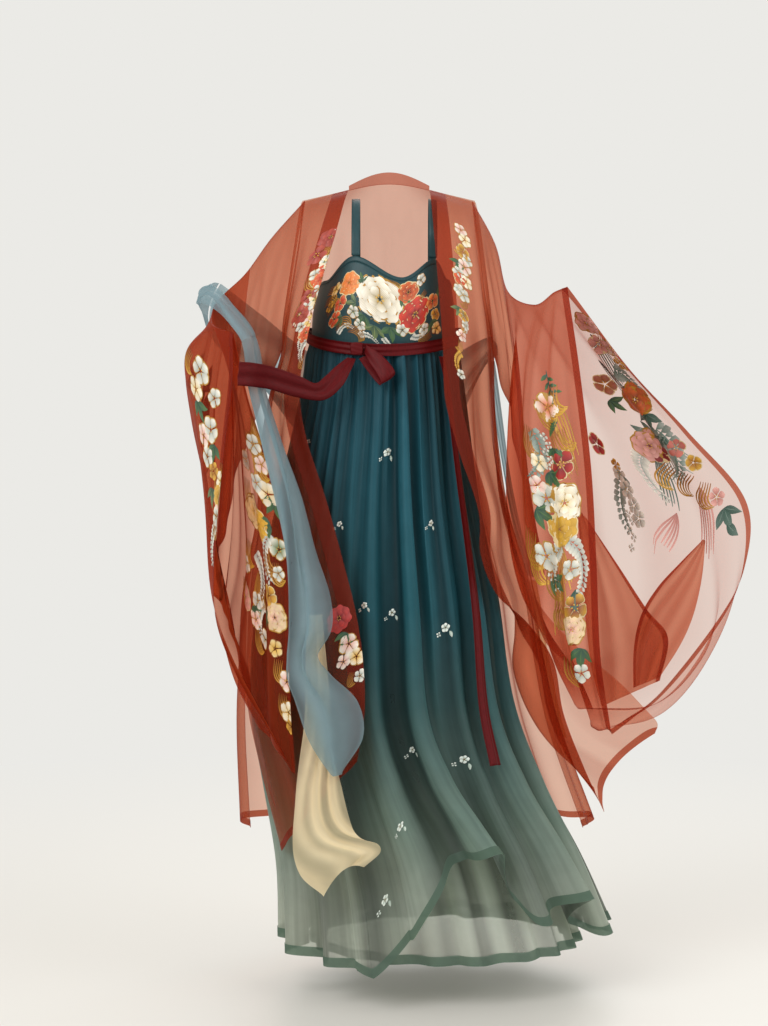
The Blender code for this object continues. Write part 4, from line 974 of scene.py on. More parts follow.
def back_surface(u, v):
    """u runs from the right side seam round the back to the left one."""
    turn, rings = np.pi * u, [back_top_edge(u)]
    for drop, x, y, wide, deep, flute in ROBE_BACK:
        off = flute * 0.5 * (1 - np.cos(2 * np.pi * 6 * u))
        rings.append(
            ring_of(x - (wide + off) * np.cos(turn), y + (deep + off) * np.sin(turn), -drop)
        )
    return through(np.array(rings), v)


def nape_surface(u, v):
    edge = back_top_edge(NECK_RIGHT + (NECK_LEFT - NECK_RIGHT) * u)
    tall = v * (0.4 + 0.6 * np.sin(np.pi * u))
    return edge + np.stack([0 * u, -0.008 * tall, 0.020 * tall - 0.001], axis=1)


def drapes(deep, fewest, most, seed, start=0.05, slant=0.0):
    """Soft folds that run down a cloth and deepen below the shoulder."""
    line = wander(seed, fewest, most)

    def depth(u, v):
        edges = np.clip(np.minimum(u, 1 - u) / 0.06, 0, 1)
        return deep * np.clip((v - start) / 0.5, 0, 1) * line(u * 0.5 + slant * v) * edges

    return depth


# Silk chiffon is a plain weave of hard-twisted thread with open gaps. One layer only tints what is
# behind it, and it looks denser where it turns away. The bands are the same cloth folded double.
robe_chiffon = sheer_finish("robe_chiffon", linear("#f9d0bc"), 0.26, 0.66, colour="#9c3816")
robe_band = sheer_finish("robe_band_chiffon", linear("#efae96"), 0.50, 0.45, colour="#93301a")
COLLAR_WIDE, ROBE_HEM_WIDE, CUFF_BAND_WIDE = 0.028, 0.012, 0.011
# A front's share across at its side seam allowance, which lies under the back.
PAST_SIDE_SEAM = 1.045
robe_cloths = {}
for side, rows, folds, out, flat in (
    ("right", RIGHT_FRONT, drapes(0.0045, 3, 9, 21, slant=0.05), 1, (0.22, 1.12)),
    ("left", LEFT_FRONT, drapes(0.0040, 3, 9, 24, slant=0.04), -1, (0.18, 1.14)),
):
    cloth = Cloth(part(panel_surface(rows), 0, PAST_SIDE_SEAM), 70, 240, out=out, folds=folds)
    robe_cloths[side] = cloth
    canvas = Canvas(cloth.points, cloth.normals, 0.08, 40)
    collar = cloth_piece(
        f"collar_{side}", Cloth(canvas.strip(0.0, COLLAR_WIDE, 0.0, 0.985), 6, 240, out=out), robe_band,
    )
    hem = cloth_piece(
        f"robe_hem_front_{side}", Cloth(hem_strip(cloth, ROBE_HEM_WIDE), 3, 70), robe_band,
    )
    sheet_piece(
        f"robe_front_{side}", cloth, robe_chiffon,
    )
for side, u0, u1, seed in (("right", -0.008, 0.5, 41), ("left", 0.5, 1.008, 43)):
    folds = drapes(0.0045, 6, 16, seed, 0.1)
    cloth = Cloth(part(back_surface, u0, u1), 150, 150, out=-1, folds=folds)
    hem = cloth_piece(
        f"robe_hem_back_{side}", Cloth(hem_strip(cloth, ROBE_HEM_WIDE), 3, 150), robe_band,
    )
    sheet_piece(
        f"robe_back_{side}", cloth, robe_chiffon,
    )
sheet_piece(
    "collar_neck", Cloth(nape_surface, 60, 8), robe_band,
)

# --- Robe embroidery ------------------------------------------------------------------------
# Flowers in stranded silk and gilt cord, worked on the chiffon. They run down each front beside
# the collar band, thick over the breast and thin below.

right_silk = Silk(Canvas(robe_cloths["right"].points, robe_cloths["right"].normals, 0.16, even=True))
embroider(
    right_silk,
    [
        ((peony, "#8a2a22", "#a8402f"), -108, -75, 36, 0.2),
        ((blossom, "#8a2a22", "#b04a36"), -132, -105, 30, 0.6),
        ((leaves, "#8a2a22", "#a24433"), -118, -125, 28, 1.6), (CORD, -96, -85, 28, 1.2),
        (PLUM, -92, -72, 20, 0), (LEAVES, -102, -105, 22, 1.9), (CREAM_PLUM, -106, -118, 24, 0.3),
        (CORD, -112, -130, 32, 1.4), ((peony, RED, ORANGE, CREAM), -120, -145, 32, 0.2),
        (MOSSY, -128, -165, 24, 2), (CREAM_PLUM, -132, -180, 26, 0.8),
        (DARK_CORD, -138, -190, 30, 1.5), (PINK_PLUM, -142, -205, 24, 0.5),
        (LEAVES, -146, -222, 22, 2.2), ((peony, RED, ORANGE, CREAM), -150, -235, 28, 0.4),
        (DARK_CORD, -104, -98, 30, 1.9), (PLUM, -116, -112, 20, 0.3), (RED_PLUM, -98, -130, 22, 0.8),
        (CORD, -126, -150, 34, 1.1), (PLUM, -114, -166, 22, 0.5),
        ((blossom, "#8a2a22", "#b04a36"), -146, -172, 26, 0.2), (CORD, -124, -196, 32, 1.9),
        (STRAW_PLUM, -130, -218, 24, 0.1), ((peony, "#8a2a22", "#b04a36"), -160, -205, 36, 0.6),
        (BARE_PLUM, -158, -226, 18, 0.4), (CORD, -146, -142, 36, 1.9), (PLUM, -134, -136, 20, 0.7),
        (CORD, -158, -182, 36, 1.2), (PLUM, -150, -190, 22, 0.2), (CREAM_PLUM, -166, -212, 20, 0.3),
        (PLUME, -140, -232, 40, 1.4), (PLUME, -150, -250, 40, 1.6), (DARK_CORD, -156, -270, 28, 1.5),
        ((peony, WINE, RED), -96, -720, 40, 0.4), (LEAVES, -82, -745, 26, 0.8),
        (PINK_PLUM, -78, -765, 30, 0.3), ((blossom, YELLOW, WHITE, GOLD), -66, -785, 26, 0.8),
        (PINK_BUD, -88, -795, 22, 0.1), (DARK_CORD, -74, -812, 26, 1.2),
        (BARE_PLUM, -60, -820, 20, 0.5),
    ],
)
right_silk.finish("right_front_embroidery", "robe_chiffon")
left_silk = Silk(Canvas(robe_cloths["left"].points, robe_cloths["left"].normals, 0.10, even=True))
embroider(
    left_silk,
    [
        (PINK_PLUM, 110, -62, 20, 0.1), (CREAM_PLUM, 118, -78, 22, 0.5), (CORD, 108, -85, 22, 1.6),
        (YELLOW_PLUM, 114, -100, 22, 0.8), (LEAVES, 108, -115, 20, 1.8),
        (PINK_PLUM, 116, -125, 24, 0.2), (RED_PLUM, 110, -145, 20, 0.9), (CORD, 114, -155, 24, 1.5),
        (PLUM, 114, -172, 22, 0.4), (MOSSY, 110, -190, 18, 1.7), (PLUME, 112, -200, 40, 1.6),
        (CORD, 116, -112, 22, 1.2), (PLUM, 122, -112, 18, 0.3), (PLUM, 108, -132, 18, 0.6),
        (CREAM_PLUM, 120, -150, 20, 0.5), (PLUM, 108, -163, 18, 0.2), (DARK_CORD, 120, -180, 22, 1.8),
        (YELLOW_PLUM, 116, -205, 18, 0.2), (CORD, 112, -215, 22, 1.2), (BARE_PLUM, 118, -224, 15, 0.2),
        (PINK_BUD, 114, -238, 18, 0.6), (CORD, 110, -250, 22, 1.6),
        ((plume, GOLD, YELLOW), 112, -270, 38, 1.6), (BARE_PLUM, 112, -305, 15, 0.2),
    ],
)
left_silk.finish("left_front_embroidery", "robe_chiffon")

# --- Sleeves --------------------------------------------------------------------------------
# Each sleeve is a wide tube in two lengths, flared to a very deep cuff, and hangs from the
# raised arm. The cuff is faced with a folded band and worked inside and out with flowers.

# top x y z, lowest x y z, then how far the front and back walls stand off, x y and x y
RIGHT_UPPER = mm(
    (-152, 0, -11, -191, 0, -262, 0, -62, 0, 62), (-208, 2, -73, -246, 5, -400, -3, -55, 0, 55),
    (-252, 0, -133, -288, 0, -560, 0, -55, -10, 48),
    (-287, -20, -168, -300, -35, -660, 15, -50, -20, 35),
)
LEFT_UPPER = mm(
    (130, 0, -11, 163, 0, -262, 0, -62, 0, 62), (170, 5, -85, 206, 8, -420, 4, -55, 4, 52),
    (192, 5, -165, 226, -4, -560, 0, -56, 14, 46),
)


def closed_ring(front, back):
    """The front wall's points from the top to the lowest one, and the back wall's up to the top."""
    return mm(*front), mm(front[-1], *back, front[0])


RIGHT_WRIST = closed_ring(
    [(-302, -85, -192), (-262, -120, -340), (-250, -125, -500), (-250, -120, -640), (-270, -105, -740)],
    [(-296, -60, -620), (-312, -55, -500), (-328, -60, -340)],
)
RIGHT_HAND = closed_ring(
    [(-298, -170, -222), (-258, -190, -350), (-238, -190, -480), (-222, -202, -620),
     (-220, -200, -760), (-222, -182, -870)],
    [(-266, -162, -780), (-292, -145, -660), (-312, -125, -520), (-338, -130, -380),
     (-346, -146, -275)],
)
RIGHT_CUFF = closed_ring(
    [(-262, -236, -236), (-238, -244, -345), (-206, -242, -450), (-180, -252, -560),
     (-173, -256, -690), (-172, -256, -810), (-164, -246, -950)],
    [(-210, -244, -870), (-262, -242, -785), (-294, -240, -690), (-290, -242, -560),
     (-276, -242, -420), (-262, -244, -310)],
)
LEFT_FOREARM = closed_ring(
    [(234, -45, -188), (212, -100, -300), (202, -124, -450), (206, -130, -600), (232, -126, -710),
     (282, -106, -790)],
    [(352, -60, -770), (374, -10, -670), (352, 30, -540), (324, 42, -410), (284, 26, -290)],
)
LEFT_HAND = closed_ring(
    [(264, -90, -168), (258, -140, -310), (266, -162, -470), (272, -170, -630), (284, -172, -760),
     (320, -150, -870)],
    [(432, -96, -865), (500, -50, -806), (526, -14, -720), (498, 20, -560), (438, 26, -420),
     (352, -10, -285)],
)
LEFT_CUFF = closed_ring(
    [(285, -105, -160), (304, -136, -300), (322, -156, -460), (331, -164, -620), (338, -166, -770),
     (358, -150, -900)],
    [(440, -130, -838), (530, -90, -732), (588, -40, -630), (594, -20, -520), (496, -26, -405),
     (392, -56, -294)],
)


def arm_ring(row, u):
    """u runs from the top down the front wall, round the lowest point and up the back."""
    down = np.where(u <= 0.5, 2 * u, 2 * (1 - u))
    off = np.maximum(0.0, np.sin(np.pi * down)) ** 0.75
    stand = np.where((u <= 0.5)[:, None], np.array((*row[6:8], 0)), np.array((*row[8:10], 0)))
    return row[0:3] + (row[3:6] - row[0:3]) * down[:, None] + stand * off[:, None]


def ring_through(walls, u):
    def wall(points, share):
        return through(np.repeat(points[:, None], len(share), axis=1), share)

    return np.where((u <= 0.5)[:, None], wall(walls[0], 2 * u), wall(walls[1], 2 * u - 1))


def sleeve_surface(upper, cuffs):
    def surface(u, v):
        u = np.mod(u, 1.0)
        rings = [arm_ring(row, u) for row in upper] + [ring_through(pair, u) for pair in cuffs]
        return through(np.array(rings), v)

    return surface


def hanging_folds(deep, seed, v0, v1, calm=0.0):
    """Folds that hang down from the arm, so they follow one another along the sleeve."""
    line, fine = wander(seed, 3, 8), wander(seed + 1, 8, 16)

    def depth(u, v):
        w = v0 + (v1 - v0) * v
        hang = np.sin(np.pi * np.mod(u, 1.0)) ** 0.8
        drift = w * 0.8 + 0.045 * np.sin(2 * np.pi * u) + 0.02 * np.sin(4 * np.pi * u + 1.0)
        grown = 0.003 + (deep - 0.003) * np.clip((w - 0.3) / 0.25, 0, 1)
        return grown * hang * (line(drift) + 0.45 * fine(drift)) * (1 - calm * v**4)

    return depth


def round_the_sleeve(*stops):
    """Something that changes from the front wall of the wind-filled sleeve to its back wall."""

    def value(tree, place):
        u = add(tree, "ShaderNodeSeparateXYZ", {0: place["UV"]}).outputs["X"]
        share = add(tree, "ShaderNodeMapRange", {"Value": u, "From Max": 1.65}).outputs[0]
        return add(tree, "ShaderNodeValToRGB", {"Fac": share}, stops).outputs["Color"]

    return value


# Over the forearm the chiffon is bunched, so it stops more light.
bunched_chiffon = sheer_finish("robe_chiffon_bunched", linear("#f1b297"), 0.42, 0.5, colour="#a03a1a")
# The back wall is stretched by the wind, so its weave opens and it is almost clear.
sail_chiffon = sheer_finish(
    "robe_chiffon_stretched",
    round_the_sleeve((0.0, "#efb09a"), (0.46, "#efb09a"), (0.56, "#f9e4dc"), (1.0, "#f9e4dc")),
    0.2, 0.6, colour="#a84222",
    cover_from=round_the_sleeve((0.0, 0.36), (0.46, 0.34), (0.56, 0.10), (0.90, 0.10), (1.0, 0.26)),
    valley_shade=0.7,
)
# The wind folds the lower edge of this sleeve up inside it in two points. Each row, from the
# point down, holds one edge and the other, x and z, as they are seen from the front.
TURNED_POINTS = (
    mm(
        (310, -535, 326, -550), (316, -630, 380, -630), (326, -725, 430, -706), (338, -805, 466, -754),
        (354, -872, 452, -828),
    ),
    mm(
        (525, -586, 529, -588), (486, -626, 524, -646), (448, -668, 514, -698), (420, -716, 501, -738),
        (408, -772, 482, -776), (408, -840, 452, -822),
    ),
)


def turned_up(canvas, rows, clear, lean):
    """A point of cloth inside the wall and clear of it. Its first edge leans forward of it."""
    lines, share = [], np.linspace(0, 1, 5)
    for x0, z0, x1, z1 in rows:
        seen_x, seen_z = x0 + (x1 - x0) * share, z0 + (z1 - z0) * share
        s, t = np.array([canvas.spot(x, z) for x, z in zip(seen_x, seen_z)]).T
        y = canvas.at(s, t, np.full(5, -clear))[:, 1] - lean * (1 - share) ** 2
        far = (STAND_Y - y) / STAND_Y
        line = [STAND_X + (seen_x - STAND_X) * far, y, STAND_Z + (seen_z - STAND_Z) * far]
        lines.append(np.stack(line, axis=1))

    def surface(u, v):
        across = [through(np.repeat(line[:, None], len(u), axis=1), u) for line in lines]
        return through(np.array(across), v)

    return surface


ROUND = 260
sleeve_walls = {}
for side, surface, out, seed, deep, upper_flat, wide_flat, finish in (
    ("right", sleeve_surface(RIGHT_UPPER, (RIGHT_WRIST, RIGHT_HAND, RIGHT_CUFF)), -1, 61, 0.0070,
     (0.75, 0.10), (1.45, 0.26), bunched_chiffon),
    ("left", sleeve_surface(LEFT_UPPER, (LEFT_FOREARM, LEFT_HAND, LEFT_CUFF)), 1, 71, 0.0115,
     (0.70, 0.08), (1.65, 0.27), sail_chiffon),
):
    upper = Cloth(
        part(surface, 0, 1, 0.0, 0.300), 200, 40, out=out, folds=hanging_folds(0.003, seed, 0, 0.3),
        closed=True,
    )
    wide = Cloth(
        part(surface, 0, 1, 0.3005, 1.0), ROUND, 130, out=out,
        folds=hanging_folds(deep, seed, 0.3, 1.0, 0.6), closed=True,
    )
    sheet_piece(
        f"sleeve_{side}_upper", upper, robe_chiffon,
    )
    points, normals = from_last_row(wide)
    facing = Cloth(Canvas(points, normals, 0.05, 20).strip(0.0, CUFF_BAND_WIDE), 3, ROUND, out=-out)
    cuff = cloth_piece(f"cuff_band_{side}", facing, robe_band)
    # Both walls are measured in from the cuff, and down from the hand.
    for wall, half in (("front", slice(ROUND // 2 + 1)), ("back", slice(None, ROUND // 2 - 1, -1))):
        sleeve_walls[side, wall] = Canvas(points[half], normals[half], 0.30, 200, True)
    if side == "left":
        for k, rows in enumerate(TURNED_POINTS):
            inner, clear, lean = sleeve_walls["left", "back"], 0.014 + 0.007 * k, 0.05 * (1 - k)
            point = turned_up(inner, rows, clear, lean)
            raised = turned_up(inner, rows, clear + 0.003, lean)
            soft = wander(77 + k, 2, 7)
            fold = Cloth(point, 60, 80, folds=lambda u, v: 0.0015 * soft(u * 0.6 + 0.2 * v))
            hem = Cloth(part(raised, 0.0, 0.07) if k else part(raised, 0.93, 1.0), 3, 80)
            woven(f"sleeve_left_turned_point_{k + 1}", fold, bunched_chiffon)
            woven(f"sleeve_left_turned_hem_{k + 1}", hem, robe_band)
    sheet_piece(
        f"sleeve_{side}_wide", wide, finish,
    )

# --- Sleeve embroidery ----------------------------------------------------------------------
# The largest flowers are worked beside both cuffs, on the outside of one wall and the inside of
# the other, with long loose strands of silk that trail from them.

# side, wall, which face, motifs
WORK = (
    ("right", "front", -1.0, [
        (STRANDS, -244, -392, 100, 1.45), (CORD, -238, -374, 55, 1.4),
        (DARK_CORD, -250, -400, 60, 1.7), (CORD, -232, -440, 55, 1.3), (PLUM, -252, -450, 30, 0.6),
        (CORD, -250, -480, 55, 1.5), (STRANDS, -232, -640, 110, 1.4), (PLUM, -252, -625, 30, 0.2),
        (DARK_CORD, -226, -655, 55, 1.5), (PLUM, -232, -690, 28, 0.5), (PLUME, -222, -700, 70, 1.4),
        (PLUM, -241, -425, 34, 0.2), (PINK_PLUM, -226, -459, 32, 0.7), (PLUM, -235, -488, 32, 0.4),
        (CREAM_PLUM, -216, -510, 41, 0.1), (LEAVES, -204, -520, 32, 0.5),
        ((peony, "#d9a25a", CREAM, OCHRE), -238, -538, 54, 0.6), (GOLD_PEONY, -230, -560, 49, 0.2),
        (LEAVES, -212, -560, 29, 0.2), (CORD, -248, -585, 55, 1.3), (DARK_CORD, -222, -600, 55, 1.7),
        (PLUME, -212, -580, 91, 1.6), (PLUME, -236, -610, 85, 1.5),
        ((blossom, LEAF, WHITE, GOLD), -196, -604, 34, 0.3), (YELLOW_PLUM, -214, -680, 32, 0.3),
        (PINK_PEONY, -204, -722, 44, 0.3), (LEAVES, -218, -710, 29, 2.4),
        (DARK_CORD, -256, -650, 50, 1.6), ((peony, DUSKY, PINK, CREAM), -252, -684, 40, 0.2),
        (LEAVES, -240, -700, 28, 1.9), (PINK_PLUM, -236, -722, 30, 0.6), (CORD, -232, -738, 50, 1.4),
        (PLUM, -220, -756, 30, 0.2), (CORD, -206, -625, 45, 1.7), (PLUM, -198, -644, 24, 0.5),
        (STRAW_PLUM, -204, -774, 26, 0.2), (CORD, -198, -790, 45, 1.5),
        (PINK_PLUM, -184, -830, 32, 0.2), (CORD, -190, -850, 49, 1.5),
        (CREAM_PLUM, -180, -880, 34, 0.7), (YELLOW_BUD, -172, -905, 27, 0.1),
    ]),
    ("right", "back", 1.0, [
        (CORD, -345, -262, 49, 1.2), (PLUM, -330, -300, 37, 0.1), (LEAVES, -326, -325, 34, 0.6),
        (WINE_PLUM, -316, -312, 29, 0.3), ((peony, PINK, WHITE, GOLD), -318, -360, 44, 0.2),
        (PLUM, -312, -400, 39, 0.5), (CORD, -318, -430, 49, 1.5), (YELLOW_BUD, -308, -470, 29, 0.8),
        (MOSSY, -310, -500, 32, 1.4), (DARK_CORD, -304, -640, 55, 1.3),
        (PINK_BUD, -290, -680, 34, 0.6), ((plume, PINK, CREAM), -282, -700, 73, 1.2),
        (CORD, -336, -285, 50, 1.6), (DARK_CORD, -325, -270, 45, 1), (CREAM_PLUM, -338, -330, 34, 0.6),
        (PLUM, -306, -345, 30, 0.2), (LEAVES, -334, -350, 34, 2), (CORD, -330, -385, 50, 1.3),
        (PINK_PLUM, -325, -410, 34, 0.9), (LEAVES, -304, -425, 30, 1.2), (PLUM, -318, -445, 32, 0.3),
        (CORD, -300, -470, 50, 1.7), (GOLD_PEONY, -298, -510, 40, 0.4), (PLUM, -302, -545, 30, 0.4),
        (PLUME, -292, -560, 80, 1.5), (DARK_CORD, -290, -600, 50, 1.4), (CORD, -272, -462, 50, 1.5),
        (CREAM_PLUM, -268, -492, 32, 0.3), (LEAVES, -260, -510, 28, 1.9),
        (PINK_PLUM, -278, -528, 30, 0.8), (DARK_CORD, -268, -548, 50, 1.3),
        (PINK_PEONY, -266, -586, 40, 0.2), ((blossom, DUSKY, PINK, CREAM), -262, -622, 30, 0.5),
        (PLUM, -278, -648, 28, 0.1),
    ]),
    ("left", "front", 1.0, [
        ((sprig, PINE, LEAF), 257, -300, 55, 1.6), (STRANDS, 262, -330, 130, 1.8),
        ((strands, OCHRE, GOLD), 256, -372, 120, 1.95), (STRANDS, 276, -560, 130, 1.75),
        ((strands, OCHRE, GOLD), 284, -640, 120, 1.45), (CORD, 266, -325, 61, 1.5),
        (CORD, 246, -345, 61, 1.8), ((blossom, ORANGE, WHITE, GOLD), 260, -360, 44, 0.1),
        ((leaf, PINE, LEAF), 275, -380, 37, 0.6), (DARK_CORD, 226, -395, 61, 1.4),
        ((dots, GREY, WHITE), 256, -415, 49, 1.6), (GREY_PLUME, 232, -400, 98, 1.3),
        (WINE_PLUM, 282, -458, 41, 0.2), (LEAVES, 262, -470, 37, 2.2), (PLUM, 256, -518, 44, 0.5),
        (PINK_BUD, 242, -495, 32, 0.9), (LEAVES, 240, -535, 39, 2.6),
        ((peony, CREAM, "#faf3e2", GOLD), 288, -522, 63, 0.1), (GOLD_PEONY, 282, -566, 54, 0.4),
        (CORD, 232, -570, 73, 1.5), (CORD, 250, -600, 73, 1.2), (DARK_CORD, 272, -630, 67, 1.4),
        (PLUM, 258, -612, 44, 0.6), (PLUME, 296, -588, 104, 1.6), (PLUME, 284, -600, 91, 1.4),
        ((leaf, PINE, STEEL), 308, -670, 44, 1.3),
        ((blossom, WINE, YELLOW, CREAM), 306, -700, 41, 0.3), (PINK_PEONY, 302, -742, 49, 0.3),
        (LEAVES, 318, -772, 37, 1.2), (CORD, 300, -790, 61, 1.4), (BARE_PLUM, 318, -815, 29, 0.3),
        (LEAVES, 272, -430, 32, 1.2), (CORD, 278, -400, 50, 1.9), (CREAM_PLUM, 244, -455, 28, 0.4),
        (PLUM, 300, -640, 30, 0.1), (LEAVES, 268, -650, 34, 2.4), (DARK_CORD, 284, -700, 50, 1.2),
    ]),
    ("left", "back", -1.0, [
        (DARK_CORD, 352, -240, 55, 1), ((peony, DUSKY, PINK, GOLD), 326, -216, 44, 0.3),
        ((blossom, DUSKY, PINK, CREAM), 345, -250, 37, 0.6),
        ((strands, "#4a3a30", STEEL), 330, -235, 110, 1.4),
        ((strands, "#4a3a30", STEEL), 345, -280, 98, 1.7),
        ((blossom, OCHRE, DUSKY, CREAM), 357, -323, 39, 0.2), ((leaf, PINE, LEAF), 400, -318, 37, 0.7),
        ((peony, "#8c4a30", ORANGE, GOLD), 411, -350, 59, 0.4), (BLUISH, 425, -370, 37, 0.9),
        (GREY_STRANDS, 416, -382, 134, 1.9), (GREY_STRANDS, 433, -390, 146, 1.3),
        (GREY_STRANDS, 400, -390, 116, 2.2), ((peony, DUSKY, PINK, GOLD), 433, -428, 61, 0.2),
        ((blossom, WINE, "#8c2a2a", CREAM), 450, -434, 41, 0.6), (CORD, 470, -458, 67, 0.4),
        (DARK_CORD, 500, -475, 61, 0.5), (DARK_CORD, 530, -490, 55, 0.7),
        (WINE_PLUM, 344, -425, 39, 0.5), (YELLOW_BUD, 377, -460, 22, 0.5),
        (BARE_PLUM, 383, -475, 32, 0.3), (BARE_PLUM, 395, -500, 34, 0.3),
        (BARE_PLUM, 408, -530, 29, 0.3), (BARE_PLUM, 416, -552, 32, 0.9),
        (GREY_PLUME, 390, -480, 122, 1.2), (BLUISH, 558, -530, 39, 1.4),
        ((leaf, PINE, STEEL), 566, -560, 37, 1.8), ((blossom, DUSKY, PINK), 548, -515, 29, 0.4),
        ((strands, "#b3766c", PINK), 520, -500, 146, 1.2),
        ((strands, "#b3766c", PINK), 480, -540, 134, 1), (GREY_PLUME, 372, -300, 100, 1.5),
        (GREY_PLUME, 445, -400, 120, 1.1), (PLUME, 420, -440, 110, 1.6),
        ((blossom, DUSKY, PINK, GOLD), 372, -262, 34, 0.4), (YELLOW_BUD, 384, -285, 30, 0.9),
        (LEAVES, 364, -345, 34, 1.9), (BLUISH, 452, -410, 34, 0.6),
        ((blossom, DUSKY, "#c9685a", CREAM), 478, -430, 30, 0.2), (YELLOW_PLUM, 508, -455, 28, 0.6),
        ((strands, "#3d4a40", STEEL), 445, -440, 140, 1.2), (DARK_CORD, 420, -330, 55, 0.7),
        ((dots, GREY, WHITE), 400, -540, 60, 1.2),
    ]),
)
for side, wall, face, motifs in WORK:
    silk = Silk(sleeve_walls[side, wall], face)
    embroider(silk, motifs)
    silk.finish(f"{side}_sleeve_{wall}_embroidery", "robe_chiffon")

# --- Scarf ----------------------------------------------------------------------------------
# A long scarf of gauze, blue in the middle and cream at its ends. It passes round the back,
# over the right forearm, and falls down the front in loose turns.

# one edge x y z, the other x y z, how far the middle stands off x y z
SCARF_BACK = mm(
    (176, 70, -272, 156, 100, -280, 6, 8, 0), (168, 110, -240, 140, 144, -320, 8, 12, 0),
    (122, 165, -262, 108, 184, -400, 4, 12, 0), (60, 214, -300, 55, 222, -480, 0, 14, 0),
    (-45, 222, -300, -45, 230, -490, 0, 14, 0), (-145, 190, -270, -140, 202, -440, -6, 14, 0),
    (-235, 125, -200, -225, 140, -340, -12, 12, 0), (-300, 70, -150, -312, 82, -250, -14, 12, 0),
)
SCARF_OVER_ARM = mm(
    (-302, 66, -149, -314, 78, -248, -14, 12, 0), (-312, 20, -150, -334, 14, -192, -10, 6, 0),
    (-300, -34, -164, -326, -56, -186, -4, 0, 8), (-272, -66, -192, -296, -106, -200, 0, 0, 10),
    (-232, -96, -250, -252, -160, -250, 8, 0, 10),
)
SCARF_RIGHT_FALL = mm(
    (-216, -150, -330, -238, -236, -326, 8, -6, 0), (-186, -200, -420, -217, -272, -410, 10, -10, 0),
    (-158, -232, -500, -196, -284, -490, 10, -14, 0), (-136, -246, -590, -180, -286, -580, 8, -20, 0),
    (-110, -262, -662, -172, -288, -665, 4, -26, 0), (-106, -278, -710, -168, -290, -712, 0, -30, 0),
    (-128, -290, -752, -170, -290, -752, 0, -22, 0), (-106, -294, -786, -172, -292, -790, 0, -26, 0),
    (-62, -296, -828, -156, -296, -836, 0, -24, 0), (-52, -300, -884, -134, -298, -890, 0, -16, 0),
    (-86, -302, -942, -100, -300, -946, 0, -4, 0),
)
SCARF_RIGHT_END = mm(
    (-118, -252, -690, -142, -256, -690, 0, -8, 0), (-112, -264, -780, -146, -266, -780, 0, -10, 0),
    (-104, -272, -870, -148, -270, -880, 0, -10, 0), (-92, -282, -960, -160, -276, -980, 0, -14, 0),
    (-70, -292, -1030, -164, -280, -1050, 0, -18, 0),
    (-26, -302, -1062, -156, -284, -1108, 0, -22, 12),
    (-52, -302, -1092, -116, -292, -1142, 0, -18, 22),
)
SCARF_LEFT_FALL = rows_of(
    (0.875, 0.430, 0.018), (0.900, 0.500, 0.017), (0.915, 0.583, 0.016), (0.915, 0.667, 0.016),
    (0.910, 0.735, 0.016),
)
SCARF_LEFT_END = rows_of(
    (0.910, 0.739, 0.016), (0.905, 0.800, 0.016), (0.900, 0.860, 0.017), (0.895, 0.930, 0.019)
)


def scarf_surface(rows):
    return bellied(rows[:, [0, 1, 2, 6, 7, 8, 3, 4, 5]])


def scarf_folds(deep, seed):
    line, slow = wander(seed, 2, 6), wander(seed + 1, 1, 3)
    return lambda u, v: deep * line(u * 0.5 + 0.1 * slow(v * 0.5)) * np.sin(np.pi * v) ** 0.3


# Dyed silk gauze, closer than the robe's chiffon, so it hides most of what is behind it.
blue_gauze = sheer_finish("scarf_blue_gauze", linear("#dde8ea"), 0.72, 0.3, colour="#8ba6ae")
cream_gauze = sheer_finish("scarf_cream_gauze", linear("#f6edd6"), 0.84, 0.2, colour="#f2e0b9")
over_and_down = scarf_surface(np.concatenate([SCARF_OVER_ARM, SCARF_RIGHT_FALL]))
for name, surface, finish, folds, out, flat, on in (
    ("scarf_back", scarf_surface(SCARF_BACK), blue_gauze, scarf_folds(0.004, 81), 1,
     (0.18, 0.62), "robe_back_right"),
    ("scarf_over_arm", part(over_and_down, 0, 1, 0, 0.267), blue_gauze, scarf_folds(0.003, 83), 1,
     (0.09, 0.24), "sleeve_right_upper"),
    ("scarf_right_fall", part(over_and_down, 0, 1, 0.267), blue_gauze, scarf_folds(0.008, 85), 1,
     (0.09, 0.74), "scarf_over_arm"),
    ("scarf_right_end", scarf_surface(SCARF_RIGHT_END), cream_gauze, scarf_folds(0.005, 87), 1,
     (0.08, 0.44), "scarf_right_fall"),
    ("scarf_left_fall", lying(back_surface, SCARF_LEFT_FALL, 0.012), blue_gauze,
     scarf_folds(0.002, 89), 1, (0.034, 0.37), "scarf_back"),
    ("scarf_left_end", lying(back_surface, SCARF_LEFT_END, 0.012), cream_gauze,
     scarf_folds(0.002, 91), 1, (0.036, 0.29), "scarf_left_fall"),
):
    cloth = Cloth(surface, 40, 200, out=out, folds=folds)
    slot = "scarf_blue_gauze" if finish == blue_gauze else "scarf_cream_gauze"
    sheet_piece(name, cloth, finish)

# --- Studio ---------------------------------------------------------------------------------
# A plain pale floor of matt paint that fades into the light round it, with three large soft lamps.
# The camera stands in front, level with the waist and tipped down a little.


def lamp(name, place, aim, size, power, colour="#ffffff"):
    light = bpy.data.lights.new(name, "AREA")
    light.energy, light.size, light.color = power, size, linear(colour)[:3]
    made = placed(name, light)
    made.location = place
    made.rotation_euler = (Vector(aim) - Vector(place)).to_track_quat("-Z", "Y").to_euler()


FLOOR_Z = -1.335
HAZE = "#ebeae6"

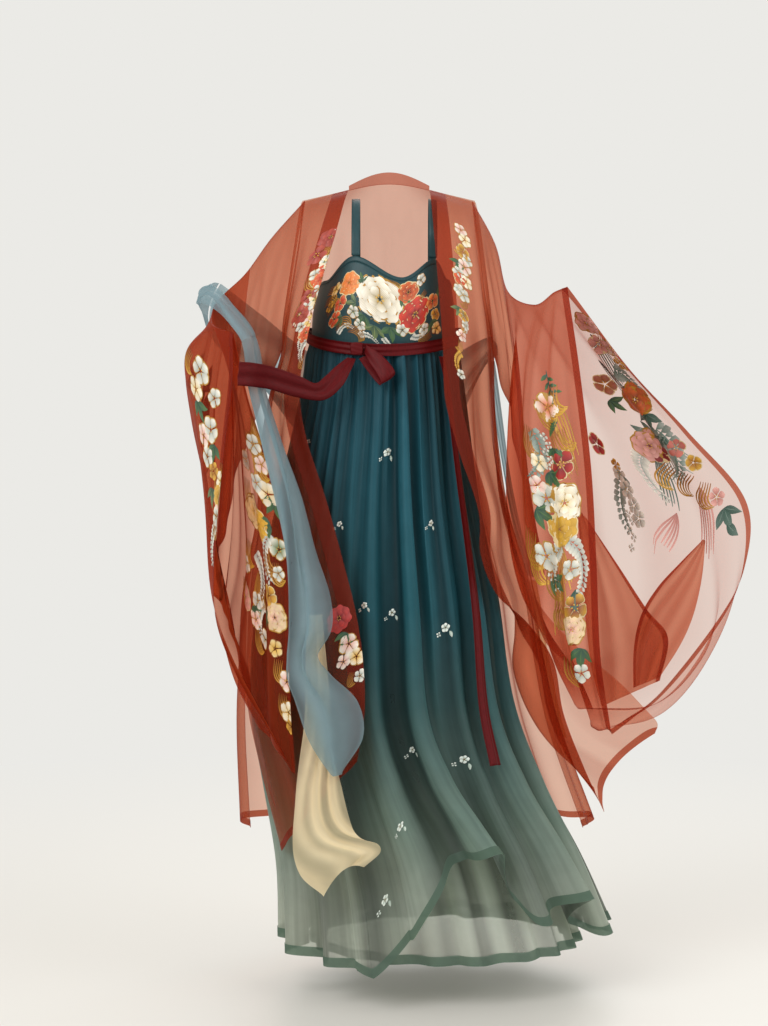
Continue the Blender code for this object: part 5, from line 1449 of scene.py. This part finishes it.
lamp("window_light", (-2.2, -3.0, 1.8), (0.0, 0.0, -0.5), 2.6, 110)
lamp("fill_light", (3.0, -2.4, 0.6), (0.0, 0.0, -0.6), 2.4, 45)
lamp("back_light", (0.6, 3.0, 1.8), (0.1, 0.0, -0.6), 3.0, 80)

air = bpy.data.worlds.new("studio")
air.use_nodes = True
air.node_tree.nodes["Background"].inputs["Color"].default_value = linear(HAZE)
air.node_tree.nodes["Background"].inputs["Strength"].default_value = 1.0
bpy.context.scene.world = air

bm = bmesh.new()
bmesh.ops.create_circle(bm, cap_ends=True, segments=64, radius=7.0)
bmesh.ops.translate(bm, vec=(0, 0, FLOOR_Z), verts=bm.verts)
mesh = mesh_of("floor", bm)
floor = placed("floor", mesh)
pale, tree = material("pale_floor")
place = add(tree, "ShaderNodeTexCoord").outputs["Object"]
flat_place = add(tree, "ShaderNodeMapping", {"Vector": place, "Scale": (1.0, 1.0, 0.0)}).outputs[0]
far = add(tree, "ShaderNodeVectorMath", {0: flat_place}, operation="LENGTH").outputs["Value"]
fade = add(tree, "ShaderNodeMapRange", {"Value": far, "From Min": 0.6, "From Max": 2.6}).outputs[0]
floor_paint = {"Base Color": linear("#cfccc6"), "Roughness": 0.4, "Specular IOR Level": 0.4}
ground = add(tree, "ShaderNodeBsdfPrincipled", floor_paint)
haze = add(tree, "ShaderNodeEmission", {"Color": linear(HAZE), "Strength": 1.0})
both = add(tree, "ShaderNodeMixShader", {0: fade, 1: ground.outputs[0], 2: haze.outputs[0]})
add(tree, "ShaderNodeOutputMaterial", {"Surface": both.outputs[0]})
mesh.materials.append(pale)

LENS_MM, SENSOR_MM = 94.95, 36.0
TIPPED_DOWN = 0.05796
view = bpy.data.cameras.new("camera")
view.lens, view.sensor_width = LENS_MM, SENSOR_MM
camera = placed("camera", view)
camera.location = (-0.0187, -4.6, -0.274)
camera.rotation_euler = (math.pi / 2 - TIPPED_DOWN, 0.0, 0.0)
bpy.context.scene.camera = camera
bpy.context.scene.view_settings.view_transform = "Standard"
bpy.context.scene.cycles.transparent_max_bounces = 40
